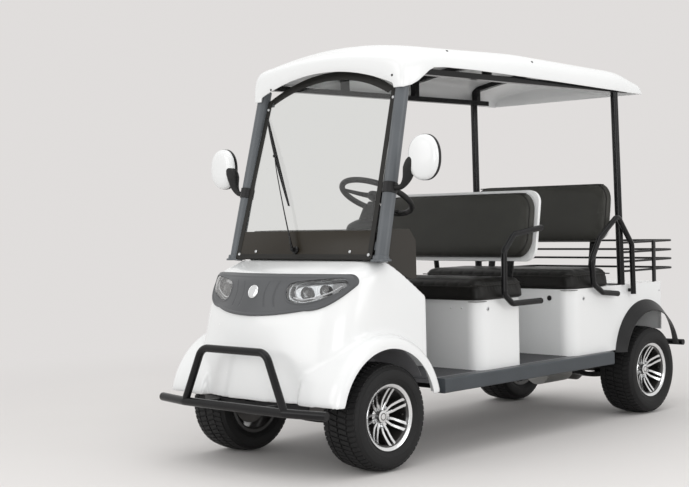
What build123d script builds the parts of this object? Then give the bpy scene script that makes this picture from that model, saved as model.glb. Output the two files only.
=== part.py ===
"""Open electric people carrier: two forward-facing benches, a cargo deck and a canopy roof.

Millimetres, +Z up. The nose points along -Y and +X is the vehicle's left side.
Places along Y are measured from the front axle; save() moves the whole vehicle
so that the origin lies on the ground under the middle of its length.
"""
from build123d import *
import os
from math import cos, hypot, radians, sin, sqrt

os.makedirs("parts", exist_ok=True)

# Driving sizes of the running gear
wheelbase = 2060.0
body_half_width = 470.0
track_inset = 50.0
rear_track_inset = 44.0
kingpin_inset = 90.0
front_half_track = body_half_width - track_inset
rear_half_track = body_half_width - rear_track_inset
kingpin_x = front_half_track - kingpin_inset
tyre_diameter = 459.0
tyre_width = 205.0
axle_height = tyre_diameter / 2

# Driving sizes of the body
floor_top = 357.0
floor_thickness = 18.0
sill_reach = 50.0
sill_outer_x = body_half_width + sill_reach
sill_width = 55.0
sill_bottom = 292.0
sill_front_y = 352.0
sill_rear_lead = 360.0
sill_rear_y = wheelbase - sill_rear_lead
nose_rear_y = 300.0
cowl_top = 885.0
seat_box_top = 678.0
# The front bench stands a lead ahead of the middle between the axles
front_bench_lead = 370.0
seat_box_depth = 327.0
seat_box_front_y = wheelbase / 2 - front_bench_lead
seat_box_rear_y = seat_box_front_y + seat_box_depth
rear_body_lead = 680.0
tail_overhang = 202.0
rear_body_reach = 10.0
rear_body_front_y = wheelbase - rear_body_lead
rear_body_rear_y = wheelbase + tail_overhang
rear_body_half_width = body_half_width + rear_body_reach
rear_body_top = 690.0
roof_beam_bottom = 1690.0
roof_beam_height = 26.0
roof_beam_inset = 15.0
roof_beam_x = body_half_width - roof_beam_inset
roof_beam_width = 36.0
# Rear post: inset and lead of its foot, then how far its head lies inwards and forwards of the foot
rear_post_inset = 10.0
rear_post_lead = 207.0
rear_post_drift = (8.0, 23.0)
rear_post_foot = (rear_body_half_width - rear_post_inset, wheelbase - rear_post_lead)
rear_post_head = (rear_post_foot[0] - rear_post_drift[0], rear_post_foot[1] - rear_post_drift[1])

# Walls, tubes and clearances shared by many pieces
shell_wall = 5.0
plate = 6.0
seat_gap = 0.3
panel_gap = 0.5
overrun = 60.0
bumper_tube_r = 19.0
hand_rail_r = 14.0
rack_rod_r = 6.0

# Bumper places, which also give the reach of the vehicle
bumper_tube_y = -427.0
bumper_end_y = -388.0
rear_bumper_overhang = 360.0
rear_bumper_y = wheelbase + rear_bumper_overhang
rear_bumper_r = 16.0

front_reach = bumper_tube_y - bumper_tube_r
rear_reach = rear_bumper_y + rear_bumper_r
centre_shift = -(front_reach + rear_reach) / 2


def save(node, shape):
    """Write one sub-part, moved so that the origin is under the middle of the vehicle."""
    solids = [Pos(0, centre_shift, 0) * solid for solid in shape.solids()]
    whole = solids[0] if len(solids) == 1 else Compound(solids)
    export_step(whole, os.path.join("parts", node + ".step"))


def block(x0, x1, y0, y1, z0, z1):
    """A box between two corners."""
    solid = Box(abs(x1 - x0), abs(y1 - y0), abs(z1 - z0))
    return Pos((x0 + x1) / 2, (y0 + y1) / 2, (z0 + z1) / 2) * solid


def rod(start, end, radius):
    """A round bar between two points."""
    axis = Vector(*end) - Vector(*start)
    plane = Plane(origin=start, z_dir=axis)
    return extrude(plane * Circle(radius), amount=axis.length)


def bent_tube(points, bend, radius):
    """A round tube along straight runs with one bend radius at every corner."""
    path = FilletPolyline(*points, radius=bend)
    start = Plane(origin=path @ 0, z_dir=path % 0)
    return sweep(start * Circle(radius), path=path)


def drum(radius, x0, x1, y, z):
    """A cylinder that lies along X between two planes."""
    disc = Plane(origin=(x0, y, z), z_dir=(1, 0, 0)) * Circle(radius)
    return extrude(disc, amount=x1 - x0)


def side_prism(points, x0, x1):
    """A prism along X of an outline given as (y, z) points."""
    face = make_face(Polyline(*[(x0, y, z) for y, z in points], close=True))
    return extrude(face, amount=x1 - x0, dir=(1, 0, 0))


def front_prism(outline, y0, y1):
    """A prism along Y of a closed wire drawn in the plane y = y0."""
    return extrude(make_face(outline), amount=y1 - y0, dir=(0, 1, 0))


def both(shape):
    """The shape and its mirror image across the middle of the vehicle."""
    return Compound(children=[shape, mirror(shape, about=Plane.YZ)])


def mirrored(shape):
    return mirror(shape, about=Plane.YZ)


# Chassis frame: two long rails, members between them and outriggers under the floor
rail_x = 185.0
rail_width = 50.0
rail_height = 60.0
rail_front_y = -310.0
rail_overhang = 170.0
rail_rear_y = wheelbase + rail_overhang
rail_top = floor_top - floor_thickness
rail_bottom = rail_top - rail_height
rail_inner_x = rail_x - rail_width / 2
rail_outer_x = rail_x + rail_width / 2
member_width = 40.0
member_height = 40.0
member_length_share = (0.0, 0.26, 0.42, 0.58, 0.74, 0.984)
outrigger_share = (0.05, 0.35, 0.62, 0.95)
sill_inner_x = sill_outer_x - sill_width
sill_edge_r = 8.0
foot_tongue_half_width = 205.0
foot_tongue_front_y = -60.0


def rails():
    rail = block(rail_inner_x, rail_outer_x, rail_front_y, rail_rear_y, rail_bottom, rail_top)
    return both(rail)


def crossmembers():
    """Members between the rails, and outriggers from rail to sill."""
    pieces = []
    span = rail_rear_y - rail_front_y
    for share in member_length_share:
        y0 = rail_front_y + share * span
        member = block(-rail_inner_x, rail_inner_x, y0, y0 + member_width, rail_top - member_height, rail_top)
        pieces.append(member)
    sill_length = sill_rear_y - sill_front_y
    for share in outrigger_share:
        y0 = sill_front_y + share * (sill_length - member_width)
        arm = block(rail_outer_x, sill_inner_x, y0, y0 + member_width, rail_top - member_height, rail_top)
        pieces.append(arm)
        pieces.append(mirrored(arm))
    return Compound(children=pieces)


def side_sills():
    sill = block(sill_inner_x, sill_outer_x, sill_front_y, sill_rear_y, sill_bottom, floor_top)
    sill = fillet(sill.edges().filter_by(Axis.Y).group_by(Axis.X)[-1], sill_edge_r)
    return both(sill)


def floor_panel():
    main = block(-sill_inner_x, sill_inner_x, nose_rear_y, sill_rear_y, rail_top, floor_top)
    tongue = block(
        -foot_tongue_half_width, foot_tongue_half_width, foot_tongue_front_y, nose_rear_y, rail_top, floor_top
    )
    return main + tongue


save("frame_rails", rails())
save("frame_crossmembers", crossmembers())
save("side_sills", side_sills())
save("floor_panel", floor_panel())

# Nose: horizontal sections, each with a bulged front edge and rounded front corners.
# Columns: height, half width less the body's, front edge at the middle, front edge at the corner, corner radius
nose_bottom = 300.0
grille_bottom = 662.0
grille_top = 839.0
nose_sections = (
    (nose_bottom, 0.0, -358.0, -300.0, 130.0),
    (470.0, 0.0, -352.0, -285.0, 150.0),
    (grille_bottom, 0.0, -330.0, -245.0, 170.0),
    (grille_top, -4.0, -262.0, -180.0, 170.0),
    (cowl_top, -24.0, -80.0, -20.0, 120.0),
)
cowl_slope_front_y = 66.0
cowl_slope_rear_z = 727.0
cowl_slope_rear_y = 295.0


def nose_section(z, half_width, front_mid, front_side, corner, rear_y):
    """One closed outline of the nose: rear line, sides, two corner arcs and the bulged front."""
    side_y = front_side + corner
    front_x = half_width - corner
    corner_mid_x = front_x + corner * cos(radians(45))
    corner_mid_y = side_y - corner * sin(radians(45))
    right = Line((-half_width, rear_y, z), (-half_width, side_y, z))
    right_corner = ThreePointArc(
        (-half_width, side_y, z), (-corner_mid_x, corner_mid_y, z), (-front_x, front_side, z)
    )
    front = ThreePointArc((-front_x, front_side, z), (0, front_mid, z), (front_x, front_side, z))
    left_corner = ThreePointArc(
        (front_x, front_side, z), (corner_mid_x, corner_mid_y, z), (half_width, side_y, z)
    )
    left = Line((half_width, side_y, z), (half_width, rear_y, z))
    rear = Line((half_width, rear_y, z), (-half_width, rear_y, z))
    return make_face(Curve() + [right, right_corner, front, left_corner, left, rear])


def nose_body(grow, lower=0.0, rear_extra=0.0):
    """The nose as a solid, grown outwards by a length, under the slope of the cowl's sides."""
    faces = []
    for z, wider, front_mid, front_side, corner in nose_sections:
        half_width = body_half_width + wider
        height = z
        if z == nose_bottom:
            height = z - lower
        if z == cowl_top:
            height = z + grow
        rear_y = nose_rear_y + rear_extra
        faces.append(nose_section(height, half_width + grow, front_mid - grow, front_side - grow, corner, rear_y))
    body = loft(faces, ruled=True)
    slope = (cowl_top - cowl_slope_rear_z) / (cowl_slope_rear_y - cowl_slope_front_y)
    top_z = cowl_top + grow
    end_y = nose_rear_y + overrun
    end_z = top_z - slope * (end_y - cowl_slope_front_y)
    wedge = side_prism(
        (
            (cowl_slope_front_y, top_z),
            (end_y, end_z),
            (end_y, top_z + overrun),
            (cowl_slope_front_y, top_z + overrun),
        ),
        -body_half_width - overrun,
        body_half_width + overrun,
    )
    return body - wedge


# Front fenders: a round flare over each wheel, with a round arch cut in it
fender_reach = 70.0
fender_outer_x = body_half_width + fender_reach
fender_r = 343.0
fender_centre_y = -12.0
fender_centre_z = 236.0
fender_edge_r = 45.0
# The flare's solid starts this far inside the body's side, so that its front leg runs into the nose
cheek_inset = 170.0
arch_r = 286.0
arch_centre_y = -22.0


def fender(grow):
    """One flare on the left side, grown outwards by a length."""
    inner_x = body_half_width - cheek_inset
    if grow < 0:
        inner_x = body_half_width - shell_wall - overrun
    flare = drum(fender_r + grow, inner_x, fender_outer_x + grow, fender_centre_y, fender_centre_z)
    rim_edges = flare.edges().group_by(Axis.X)[-1]
    flare = fillet(rim_edges, fender_edge_r + grow)
    floor_cut = block(
        0, fender_outer_x + overrun, -fender_r - overrun, fender_r + overrun, -fender_r, nose_bottom
    )
    if grow < 0:
        return flare
    return flare - floor_cut


def arch_cut():
    return drum(arch_r, kingpin_x, fender_outer_x + overrun, arch_centre_y, fender_centre_z)


# Grille panel: a wide oval band that wraps round the nose, with a lamp opening at each end
grille_side_inset = 43.0
grille_half_width = body_half_width - grille_side_inset
grille_end_z = 790.0
grille_top_inset = 82.0
grille_top_end_x = body_half_width - grille_top_inset
grille_top_end_z = 836.0
grille_bottom_mid_x = 260.0
grille_bottom_mid_z = 686.0
grille_corner_share = 0.33
grille_belly_share = (0.62, 0.28)
grille_proud = 5.0
grille_depth = 9.0
lamp_inner_x = 198.0
lamp_side_inset = 64.0
lamp_outer_x = body_half_width - lamp_side_inset
lamp_top_z = 820.0
lamp_bottom_z = 712.0
lamp_corner_r = 34.0
lamp_depth = 60.0
lamp_rim = 10.0
lamp_proud = 3.0
badge_r = 19.0
badge_z = 762.0
badge_proud = 6.0
nose_front_y = -500.0
nose_wrap_y = 0.0


def grille_outline(grow):
    """The band's outline as seen from the front, from arcs that mirror each other."""
    y = nose_front_y
    end_x = grille_half_width + grow
    top_x = grille_top_end_x
    top_z = grille_top_end_z + grow
    low_x = grille_bottom_mid_x
    low_z = grille_bottom_mid_z - grow
    corner_z = grille_end_z + (top_z - grille_end_z) * grille_corner_share
    belly_x = low_x + (end_x - low_x) * grille_belly_share[0]
    belly_z = low_z + (grille_end_z - low_z) * grille_belly_share[1]
    edges = [
        ThreePointArc((-top_x, y, top_z), (0, y, grille_top + grow), (top_x, y, top_z)),
        ThreePointArc((top_x, y, top_z), (end_x, y, corner_z), (end_x, y, grille_end_z)),
        ThreePointArc((end_x, y, grille_end_z), (belly_x, y, belly_z), (low_x, y, low_z)),
        ThreePointArc((low_x, y, low_z), (0, y, grille_bottom - grow), (-low_x, y, low_z)),
        ThreePointArc((-low_x, y, low_z), (-belly_x, y, belly_z), (-end_x, y, grille_end_z)),
        ThreePointArc((-end_x, y, grille_end_z), (-end_x, y, corner_z), (-top_x, y, top_z)),
    ]
    return Curve() + edges


def lamp_prism(grow):
    """The left lamp's opening as seen from the front: a rounded lens, lower at its inner end."""
    width = lamp_outer_x - lamp_inner_x + 2 * grow
    height = lamp_top_z - lamp_bottom_z + 2 * grow
    centre = ((lamp_inner_x + lamp_outer_x) / 2, nose_front_y, (lamp_top_z + lamp_bottom_z) / 2)
    plane = Plane(origin=centre, x_dir=(1, 0, 0), z_dir=(0, 1, 0))
    outline = plane * RectangleRounded(width, height, lamp_corner_r + grow)
    return extrude(outline, amount=nose_wrap_y - nose_front_y)


def lamp_window(grow):
    """The opening kept inside the band's rim."""
    rim_window = front_prism(grille_outline(grow - lamp_rim), nose_front_y, nose_wrap_y)
    return lamp_prism(grow) & rim_window


nose_outer = nose_body(0)
nose_inner = nose_body(-shell_wall, overrun, overrun)
fender_left = fender(0)
fender_void = fender(-shell_wall)
grille_hole = front_prism(grille_outline(panel_gap), nose_front_y, nose_wrap_y)
dash_inset = 45.0
dash_half_width = body_half_width - dash_inset
dash_hole = block(
    -dash_half_width - panel_gap,
    dash_half_width + panel_gap,
    cowl_slope_front_y,
    nose_rear_y + overrun,
    cowl_slope_rear_z - overrun,
    cowl_top + overrun,
)


def nose_shell():
    outer = nose_outer + fender_left + mirrored(fender_left)
    shell = outer - nose_inner - fender_void - mirrored(fender_void)
    shell = shell - arch_cut() - mirrored(arch_cut())
    shell = shell - grille_hole
    return shell - dash_hole


def grille_band():
    """The band between two offsets of the nose, with the lamps' openings and the bare round badge."""
    band = nose_body(grille_proud) - nose_body(-grille_depth, overrun, overrun)
    band = band & front_prism(grille_outline(0), nose_front_y, nose_wrap_y)
    band = band - lamp_window(panel_gap) - mirrored(lamp_window(panel_gap))
    front = nose_body(grille_proud + badge_proud) - nose_body(grille_proud - panel_gap)
    plane = Plane(origin=(0, nose_front_y, badge_z), x_dir=(1, 0, 0), z_dir=(0, 1, 0))
    badge = front & extrude(plane * Circle(badge_r), amount=nose_wrap_y - nose_front_y)
    return band + badge


def headlights():
    front = nose_body(lamp_proud)
    lens = front - Pos(0, lamp_depth, 0) * front
    return both(lens & lamp_window(0))


save("nose_shell", nose_shell())
save("grille_panel", grille_band())
save("headlights", headlights())

# Black strip under the nose, and the liners inside the front arches
stub_r = 11.0
bumper_stub_z = 287.0
valance_height = 28.0
valance_wall = 8.0
valance_rear_y = -250.0
liner_r = 300.0
liner_wall = 4.0
liner_inner_x = 215.0
liner_inset = 15.0
liner_outer_x = body_half_width - liner_inset
liner_bottom_z = 375.0


def lower_valance():
    z, wider, front_mid, front_side, corner = nose_sections[0]
    half_width = body_half_width + wider
    outer = nose_section(z, half_width, front_mid, front_side, corner, valance_rear_y)
    inner = nose_section(
        z,
        half_width - valance_wall,
        front_mid + valance_wall,
        front_side + valance_wall,
        corner - valance_wall,
        valance_rear_y + overrun,
    )
    ring = extrude(outer, amount=valance_height, dir=(0, 0, -1))
    ring = ring - extrude(inner, amount=valance_height, dir=(0, 0, -1))
    hole = rod((rail_x, rail_front_y, bumper_stub_z), (rail_x, bumper_tube_y, bumper_stub_z), stub_r + seat_gap)
    return ring - arch_cut() - mirrored(arch_cut()) - hole - mirrored(hole)


def wheel_liners():
    """A half drum over each front wheel, closed on its inner side."""
    outer = drum(liner_r + liner_wall, liner_inner_x, liner_outer_x, 0, fender_centre_z)
    inner = drum(liner_r, liner_inner_x + liner_wall, liner_outer_x + overrun, 0, fender_centre_z)
    keep = block(0, fender_outer_x, -liner_r - overrun, liner_r + overrun, liner_bottom_z, cowl_top)
    return both((outer - inner) & keep)


save("lower_valance", lower_valance())
save("wheel_liners_front", wheel_liners())

# Firewall behind the front axle, and the dashboard over it
firewall_y = 66.0
firewall_wide_z = 545.0
firewall_foot_half_width = 212.0
dash_front_y = 72.0
dash_rear_y = 285.0
dash_top = 1018.0
dash_front_top_z = 1006.0
dash_bottom = 800.0
dash_front_bottom_z = 860.0
dash_lip = 40.0
dash_wall = 8.0


def toe_board():
    low = block(
        -firewall_foot_half_width,
        firewall_foot_half_width,
        firewall_y,
        firewall_y + plate,
        floor_top,
        firewall_wide_z,
    )
    high = block(
        -dash_half_width, dash_half_width, firewall_y, firewall_y + plate, firewall_wide_z, dash_front_bottom_z
    )
    return low + high


def dashboard():
    """A hollow moulding that stands out of the cowl, open underneath."""
    outer = side_prism(
        (
            (dash_front_y, dash_front_bottom_z),
            (dash_front_y, dash_front_top_z),
            (dash_front_y + dash_lip, dash_top),
            (dash_rear_y - dash_lip, dash_top),
            (dash_rear_y, dash_front_top_z - dash_lip),
            (dash_rear_y, dash_bottom),
            (dash_rear_y - dash_lip, dash_bottom),
        ),
        -dash_half_width,
        dash_half_width,
    )
    inner = side_prism(
        (
            (dash_front_y + dash_wall, dash_front_bottom_z - overrun),
            (dash_front_y + dash_wall, dash_front_top_z - dash_wall),
            (dash_front_y + dash_lip, dash_top - dash_wall),
            (dash_rear_y - dash_lip, dash_top - dash_wall),
            (dash_rear_y - dash_wall, dash_front_top_z - dash_lip - dash_wall),
            (dash_rear_y - dash_wall, dash_bottom - overrun),
        ),
        dash_wall - dash_half_width,
        dash_half_width - dash_wall,
    )
    return outer - inner


save("toe_board", toe_board())

# Windscreen pillars: a leaning tube on a foot plate each side, with two screen tabs
pillar_r = 30.0
pillar_foot_inset = 7.0
pillar_head_inset = 29.0
pillar_base = (body_half_width - pillar_foot_inset, 16.0)
pillar_top = (body_half_width - pillar_head_inset, 214.0)
pillar_foot_thickness = 8.0
pillar_foot_half = (46.0, 50.0)
screen_thickness = 5.0
screen_foot_inset = 36.0
screen_head_inset = 62.0
screen_bottom = (body_half_width - screen_foot_inset, -9.0, 898.0)
screen_top = (body_half_width - screen_head_inset, 200.0, 1627.0)
screen_crown_z = 1738.0
tab_inset = 98.0
tab_inner_x = body_half_width - tab_inset
tab_width = 34.0
tab_height_share = (0.05, 0.97)


def screen_y(z):
    """Front face of the glass at a height."""
    share = (z - screen_bottom[2]) / (screen_top[2] - screen_bottom[2])
    return screen_bottom[1] + share * (screen_top[1] - screen_bottom[1])


def screen_slab(grow, shift):
    """The leaning slab that the glass lies in, moved back by a length."""
    low_z = cowl_top - overrun
    high_z = screen_crown_z + overrun
    half = screen_bottom[0] + grow
    return side_prism(
        (
            (screen_y(low_z) + shift, low_z),
            (screen_y(high_z) + shift, high_z),
            (screen_y(high_z) + shift + screen_thickness, high_z),
            (screen_y(low_z) + shift + screen_thickness, low_z),
        ),
        -half,
        half,
    )


def windscreen():
    """Flat laminated glass with an arched top edge."""
    y = screen_bottom[1] - overrun
    low_x, low_z = screen_bottom[0], screen_bottom[2]
    high_x, high_z = screen_top[0], screen_top[2]
    edges = [
        Line((-low_x, y, low_z), (low_x, y, low_z)),
        Line((low_x, y, low_z), (high_x, y, high_z)),
        ThreePointArc((high_x, y, high_z), (0, y, screen_crown_z), (-high_x, y, high_z)),
        Line((-high_x, y, high_z), (-low_x, y, low_z)),
    ]
    outline = front_prism(Curve() + edges, y, screen_top[1] + 2 * overrun)
    return screen_slab(0, 0) & outline


def pillar():
    """The left pillar with its foot plate and the tabs behind the glass."""
    base_x, base_y = pillar_base
    top_x, top_y = pillar_top
    foot_top = cowl_top + pillar_foot_thickness
    rise = (top_y - base_y) / (roof_beam_bottom - foot_top)
    lean = (top_x - base_x) / (roof_beam_bottom - foot_top)
    start = (base_x - lean * overrun, base_y - rise * overrun, foot_top - overrun)
    end = (top_x + lean * overrun, top_y + rise * overrun, roof_beam_bottom + overrun)
    tube = rod(start, end, pillar_r)
    keep = block(0, fender_outer_x, -2 * overrun, 2 * top_y, foot_top, roof_beam_bottom)
    tube = tube & keep
    foot = block(
        base_x - pillar_foot_half[0],
        base_x + pillar_foot_half[0],
        base_y - pillar_foot_half[1],
        base_y + pillar_foot_half[1],
        cowl_top,
        foot_top,
    )
    body = tube + foot
    for share in tab_height_share:
        z = screen_bottom[2] + share * (screen_top[2] - screen_bottom[2])
        slab = screen_slab(0, screen_thickness + seat_gap)
        centre_x = base_x + lean * (z - foot_top)
        window = block(tab_inner_x, centre_x, -2 * overrun, 2 * top_y, z, z + tab_width)
        body = body + (slab & window)
    return body


save("windscreen", windscreen())
save("windscreen_pillars", both(pillar()))

# Roof canopy: sections across the vehicle, each with a bottom line, sides, corner arcs and a crown.
# Columns: place along Y, half width past the body's, crown height, shoulder height, corner radius
roof_tail_lead = 180.0
roof_sections = (
    (160.0, 4.0, 1798.0, 1766.0, 60.0),
    (300.0, 30.0, 1858.0, 1818.0, 90.0),
    (1000.0, 36.0, 1872.0, 1832.0, 90.0),
    (wheelbase - roof_tail_lead, 30.0, 1846.0, 1804.0, 90.0),
    (wheelbase, 20.0, 1780.0, 1744.0, 50.0),
)
roof_bottom = 1620.0
roof_wall = 6.0
# Lower edge of the side skirt. Columns: place along Y, height
skirt_rear_lead = 117.0
skirt_line = (
    (172.0, 1630.0),
    (250.0, 1660.0),
    (300.0, 1696.0),
    (335.0, 1722.0),
    (631.0, 1726.0),
    (1336.0, 1708.0),
    (wheelbase - skirt_rear_lead, 1690.0),
)
fascia_inset = 50.0
fascia_arch_x = body_half_width - fascia_inset
fascia_arch_z = 1640.0
fascia_crown_z = 1730.0


def roof_section(y, half_width, crown, shoulder, corner):
    """One closed outline of the roof across the vehicle."""
    side_z = shoulder - corner
    top_x = half_width - corner
    mid_x = top_x + corner * cos(radians(45))
    mid_z = side_z + corner * sin(radians(45))
    edges = [
        Line((-half_width, y, roof_bottom), (half_width, y, roof_bottom)),
        Line((half_width, y, roof_bottom), (half_width, y, side_z)),
        ThreePointArc((half_width, y, side_z), (mid_x, y, mid_z), (top_x, y, shoulder)),
        ThreePointArc((top_x, y, shoulder), (0, y, crown), (-top_x, y, shoulder)),
        ThreePointArc((-top_x, y, shoulder), (-mid_x, y, mid_z), (-half_width, y, side_z)),
        Line((-half_width, y, side_z), (-half_width, y, roof_bottom)),
    ]
    return make_face(Curve() + edges)


def roof_body(sink, end_shift=0.0):
    """The canopy as a solid, with its top and sides drawn in by a length."""
    faces = []
    last = len(roof_sections) - 1
    for index, (y, wider, crown, shoulder, corner) in enumerate(roof_sections):
        half_width = body_half_width + wider
        place = y
        if index == 0:
            place = y + end_shift
        if index == last:
            place = y - end_shift
        faces.append(roof_section(place, half_width - sink, crown - sink, shoulder - sink, corner))
    return loft(faces, ruled=True)


def below_skirt():
    """Everything under the skirt line, over the whole width."""
    front_y, front_z = skirt_line[0]
    rear_y, rear_z = skirt_line[-1]
    far_rear = rear_y + 4 * overrun
    points = [(front_y - 2 * overrun, front_z)]
    points += list(skirt_line)
    points.append((far_rear, rear_z))
    points.append((far_rear, roof_bottom - overrun))
    points.append((front_y - 2 * overrun, roof_bottom - overrun))
    return side_prism(points, -sill_outer_x - overrun, sill_outer_x + overrun)


def fascia_arch():
    """The arched opening over the windscreen."""
    y0 = roof_sections[0][0] - overrun
    y1 = roof_sections[0][0] + 2 * overrun
    low_z = roof_bottom - overrun
    side_x, side_z = fascia_arch_x, fascia_arch_z
    edges = [
        Line((-side_x, y0, low_z), (side_x, y0, low_z)),
        Line((side_x, y0, low_z), (side_x, y0, side_z)),
        ThreePointArc((side_x, y0, side_z), (0, y0, fascia_crown_z), (-side_x, y0, side_z)),
        Line((-side_x, y0, side_z), (-side_x, y0, low_z)),
    ]
    return front_prism(Curve() + edges, y0, y1)


roof_outer = roof_body(0)
roof_inner = roof_body(roof_wall, roof_wall)


def roof_panel():
    mouth = body_half_width + roof_sections[0][1] - roof_wall
    inner = roof_inner + block(
        -mouth,
        mouth,
        roof_sections[0][0] + roof_wall,
        roof_sections[-1][0] - roof_wall,
        roof_bottom - overrun,
        roof_bottom + roof_wall,
    )
    return roof_outer - inner - below_skirt() - fascia_arch()


# Roof frame: side beams over the posts, and bows that follow the roof's inner face
bow_depth = 26.0
bow_width = 30.0
bow_rear_lead = 232.0
bow_y = (250.0, 760.0, 1300.0, wheelbase - bow_rear_lead)
beam_front_y = 215.0
beam_rear_lead = 125.0
beam_rear_y = wheelbase - beam_rear_lead
beam_top = roof_beam_bottom + roof_beam_height


def roof_beams():
    beam = block(
        roof_beam_x - roof_beam_width / 2,
        roof_beam_x + roof_beam_width / 2,
        beam_front_y,
        beam_rear_y,
        roof_beam_bottom,
        beam_top,
    )
    return both(beam)


def roof_bows():
    """Arched bows between the beams and the underside of the roof."""
    under_roof = roof_body(roof_wall + seat_gap, roof_wall)
    lower = Pos(0, 0, -bow_depth) * under_roof
    pieces = []
    for y in bow_y:
        slab = block(
            -roof_beam_x - roof_beam_width / 2,
            roof_beam_x + roof_beam_width / 2,
            y,
            y + bow_width,
            beam_top,
            roof_sections[2][2],
        )
        bow = (under_roof & slab) - lower
        foot = block(
            roof_beam_x - roof_beam_width / 2, roof_beam_x + roof_beam_width / 2, y, y + bow_width,
            beam_top, roof_sections[2][2]
        ) & under_roof
        pieces.append(bow + foot + mirrored(foot))
    return Compound(children=pieces)


rear_post_r = 19.0
rear_foot_length = 90.0


def rear_posts():
    """Leaning round posts from the rear body to the roof beams, each on a foot plate."""
    foot_x, foot_y = rear_post_foot
    head_x, head_y = rear_post_head
    height = roof_beam_bottom - rear_body_top
    drift = overrun / height
    start = (foot_x + (foot_x - head_x) * drift, foot_y + (foot_y - head_y) * drift, rear_body_top - overrun)
    end = (head_x - (foot_x - head_x) * drift, head_y - (foot_y - head_y) * drift, roof_beam_bottom + overrun)
    post = rod(start, end, rear_post_r)
    post = post & block(0, fender_outer_x, 0, rear_body_rear_y, rear_body_top, roof_beam_bottom)
    foot = block(
        foot_x - rear_foot_length,
        foot_x,
        foot_y - rear_post_r,
        foot_y + rear_post_r,
        rear_body_top,
        rear_body_top + plate,
    )
    return both(post + foot)


save("roof_panel", roof_panel())
save("roof_frame", Compound(children=[roof_beams(), roof_bows()]))
save("rear_posts", rear_posts())

# Seat boxes and rear body: hollow mouldings with rounded upright corners
box_corner_r = 70.0
rear_arch_r = 277.0
rear_arch_z = 310.0
tail_corner_r = 45.0
tail_bottom = 430.0


def rounded_plan(x, y0, y1, z0, z1, front_r, rear_r):
    """A box whose upright front and rear corners have their own radii."""
    body = block(-x, x, y0, y1, z0, z1)
    upright = body.edges().filter_by(Axis.Z)
    body = fillet(upright.group_by(Axis.Y)[0], front_r)
    upright = body.edges().filter_by(Axis.Z).group_by(Axis.Y)[-1]
    return fillet(upright, rear_r)


def seat_box_front():
    outer = rounded_plan(
        body_half_width, seat_box_front_y, seat_box_rear_y, floor_top, seat_box_top, box_corner_r, box_corner_r / 2
    )
    inner = rounded_plan(
        body_half_width - shell_wall,
        seat_box_front_y + shell_wall,
        seat_box_rear_y - shell_wall,
        floor_top - overrun,
        seat_box_top - shell_wall,
        box_corner_r - shell_wall,
        box_corner_r / 2 - shell_wall,
    )
    return outer - inner


def rear_body():
    """Rear seat box and cargo deck in one moulding, open underneath, with the wheel arches cut."""
    outer = rounded_plan(
        rear_body_half_width,
        rear_body_front_y,
        rear_body_rear_y,
        floor_top,
        rear_body_top,
        box_corner_r,
        tail_corner_r,
    )
    inner = rounded_plan(
        rear_body_half_width - shell_wall,
        rear_body_front_y + shell_wall,
        rear_body_rear_y - shell_wall,
        floor_top - overrun,
        rear_body_top - shell_wall,
        box_corner_r - shell_wall,
        tail_corner_r - shell_wall,
    )
    arch = drum(rear_arch_r, rear_body_half_width - 2 * shell_wall, fender_outer_x, wheelbase, rear_arch_z)
    tail_cut = block(
        -rear_body_half_width - overrun,
        rear_body_half_width + overrun,
        wheelbase,
        rear_body_rear_y + overrun,
        0,
        tail_bottom,
    )
    return outer - inner - arch - mirrored(arch) - tail_cut


# Black flare round each rear arch: a cone-shaped lip
flare_reach = 50.0
flare_outer_x = rear_body_half_width + flare_reach
flare_lip_r = 262.0
flare_lip_z = 281.0
flare_wall = 5.0
flare_bottom = 345.0


def rear_flares():
    inner_x = rear_body_half_width + seat_gap
    wide = Plane(origin=(inner_x, wheelbase, rear_arch_z), z_dir=(1, 0, 0))
    narrow = Plane(origin=(flare_outer_x, wheelbase, flare_lip_z), z_dir=(1, 0, 0))
    outer = loft([wide * Circle(rear_arch_r + flare_wall * 3), narrow * Circle(flare_lip_r + flare_wall)])
    inner = loft([wide * Circle(rear_arch_r + flare_wall), narrow * Circle(flare_lip_r)])
    keep = block(0, flare_outer_x + overrun, 0, wheelbase * 2, flare_bottom, rear_body_top)
    return both((outer - inner) & keep)


save("seat_box_front", seat_box_front())
save("rear_body", rear_body())
save("rear_flares", rear_flares())

# Benches: cushions, backrests and their white shells
cushion_reach = 18.0
cushion_half_width = body_half_width + cushion_reach
cushion_height = 104.0
cushion_depth = 375.0
cushion_corner_r = 55.0
cushion_edge_r = 22.0
front_cushion_overhang = 24.0
cushion_front_y = seat_box_front_y - front_cushion_overhang
rear_cushion_overhang = 14.0
rear_cushion_front_y = rear_body_front_y - rear_cushion_overhang
backrest_thickness = 50.0
backrest_corner_r = 62.0
backrest_lean = 9.0
shell_thickness = 18.0
shell_margin = 20.0
front_backrest_gap = 35.0
rear_backrest_inset = 25.0
rear_backrest_lead = 320.0
rear_half_width = body_half_width - rear_backrest_inset
# Columns: front face at the bottom along Y, bottom height, height up the slope, box top,
# half width, half width of the shell
front_backrest = (
    seat_box_rear_y + front_backrest_gap, 872.0, 305.0, seat_box_top, body_half_width, body_half_width + shell_margin
)
rear_backrest = (
    wheelbase - rear_backrest_lead, 912.0, 305.0, rear_body_top, rear_half_width, rear_half_width - shell_margin
)


def cushion(front_y, base_z):
    body = block(
        -cushion_half_width, cushion_half_width, front_y, front_y + cushion_depth,
        base_z + seat_gap, base_z + cushion_height
    )
    body = fillet(body.edges().filter_by(Axis.Z), cushion_corner_r)
    return fillet(body.faces().sort_by(Axis.Z)[-1].edges(), cushion_edge_r)


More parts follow.
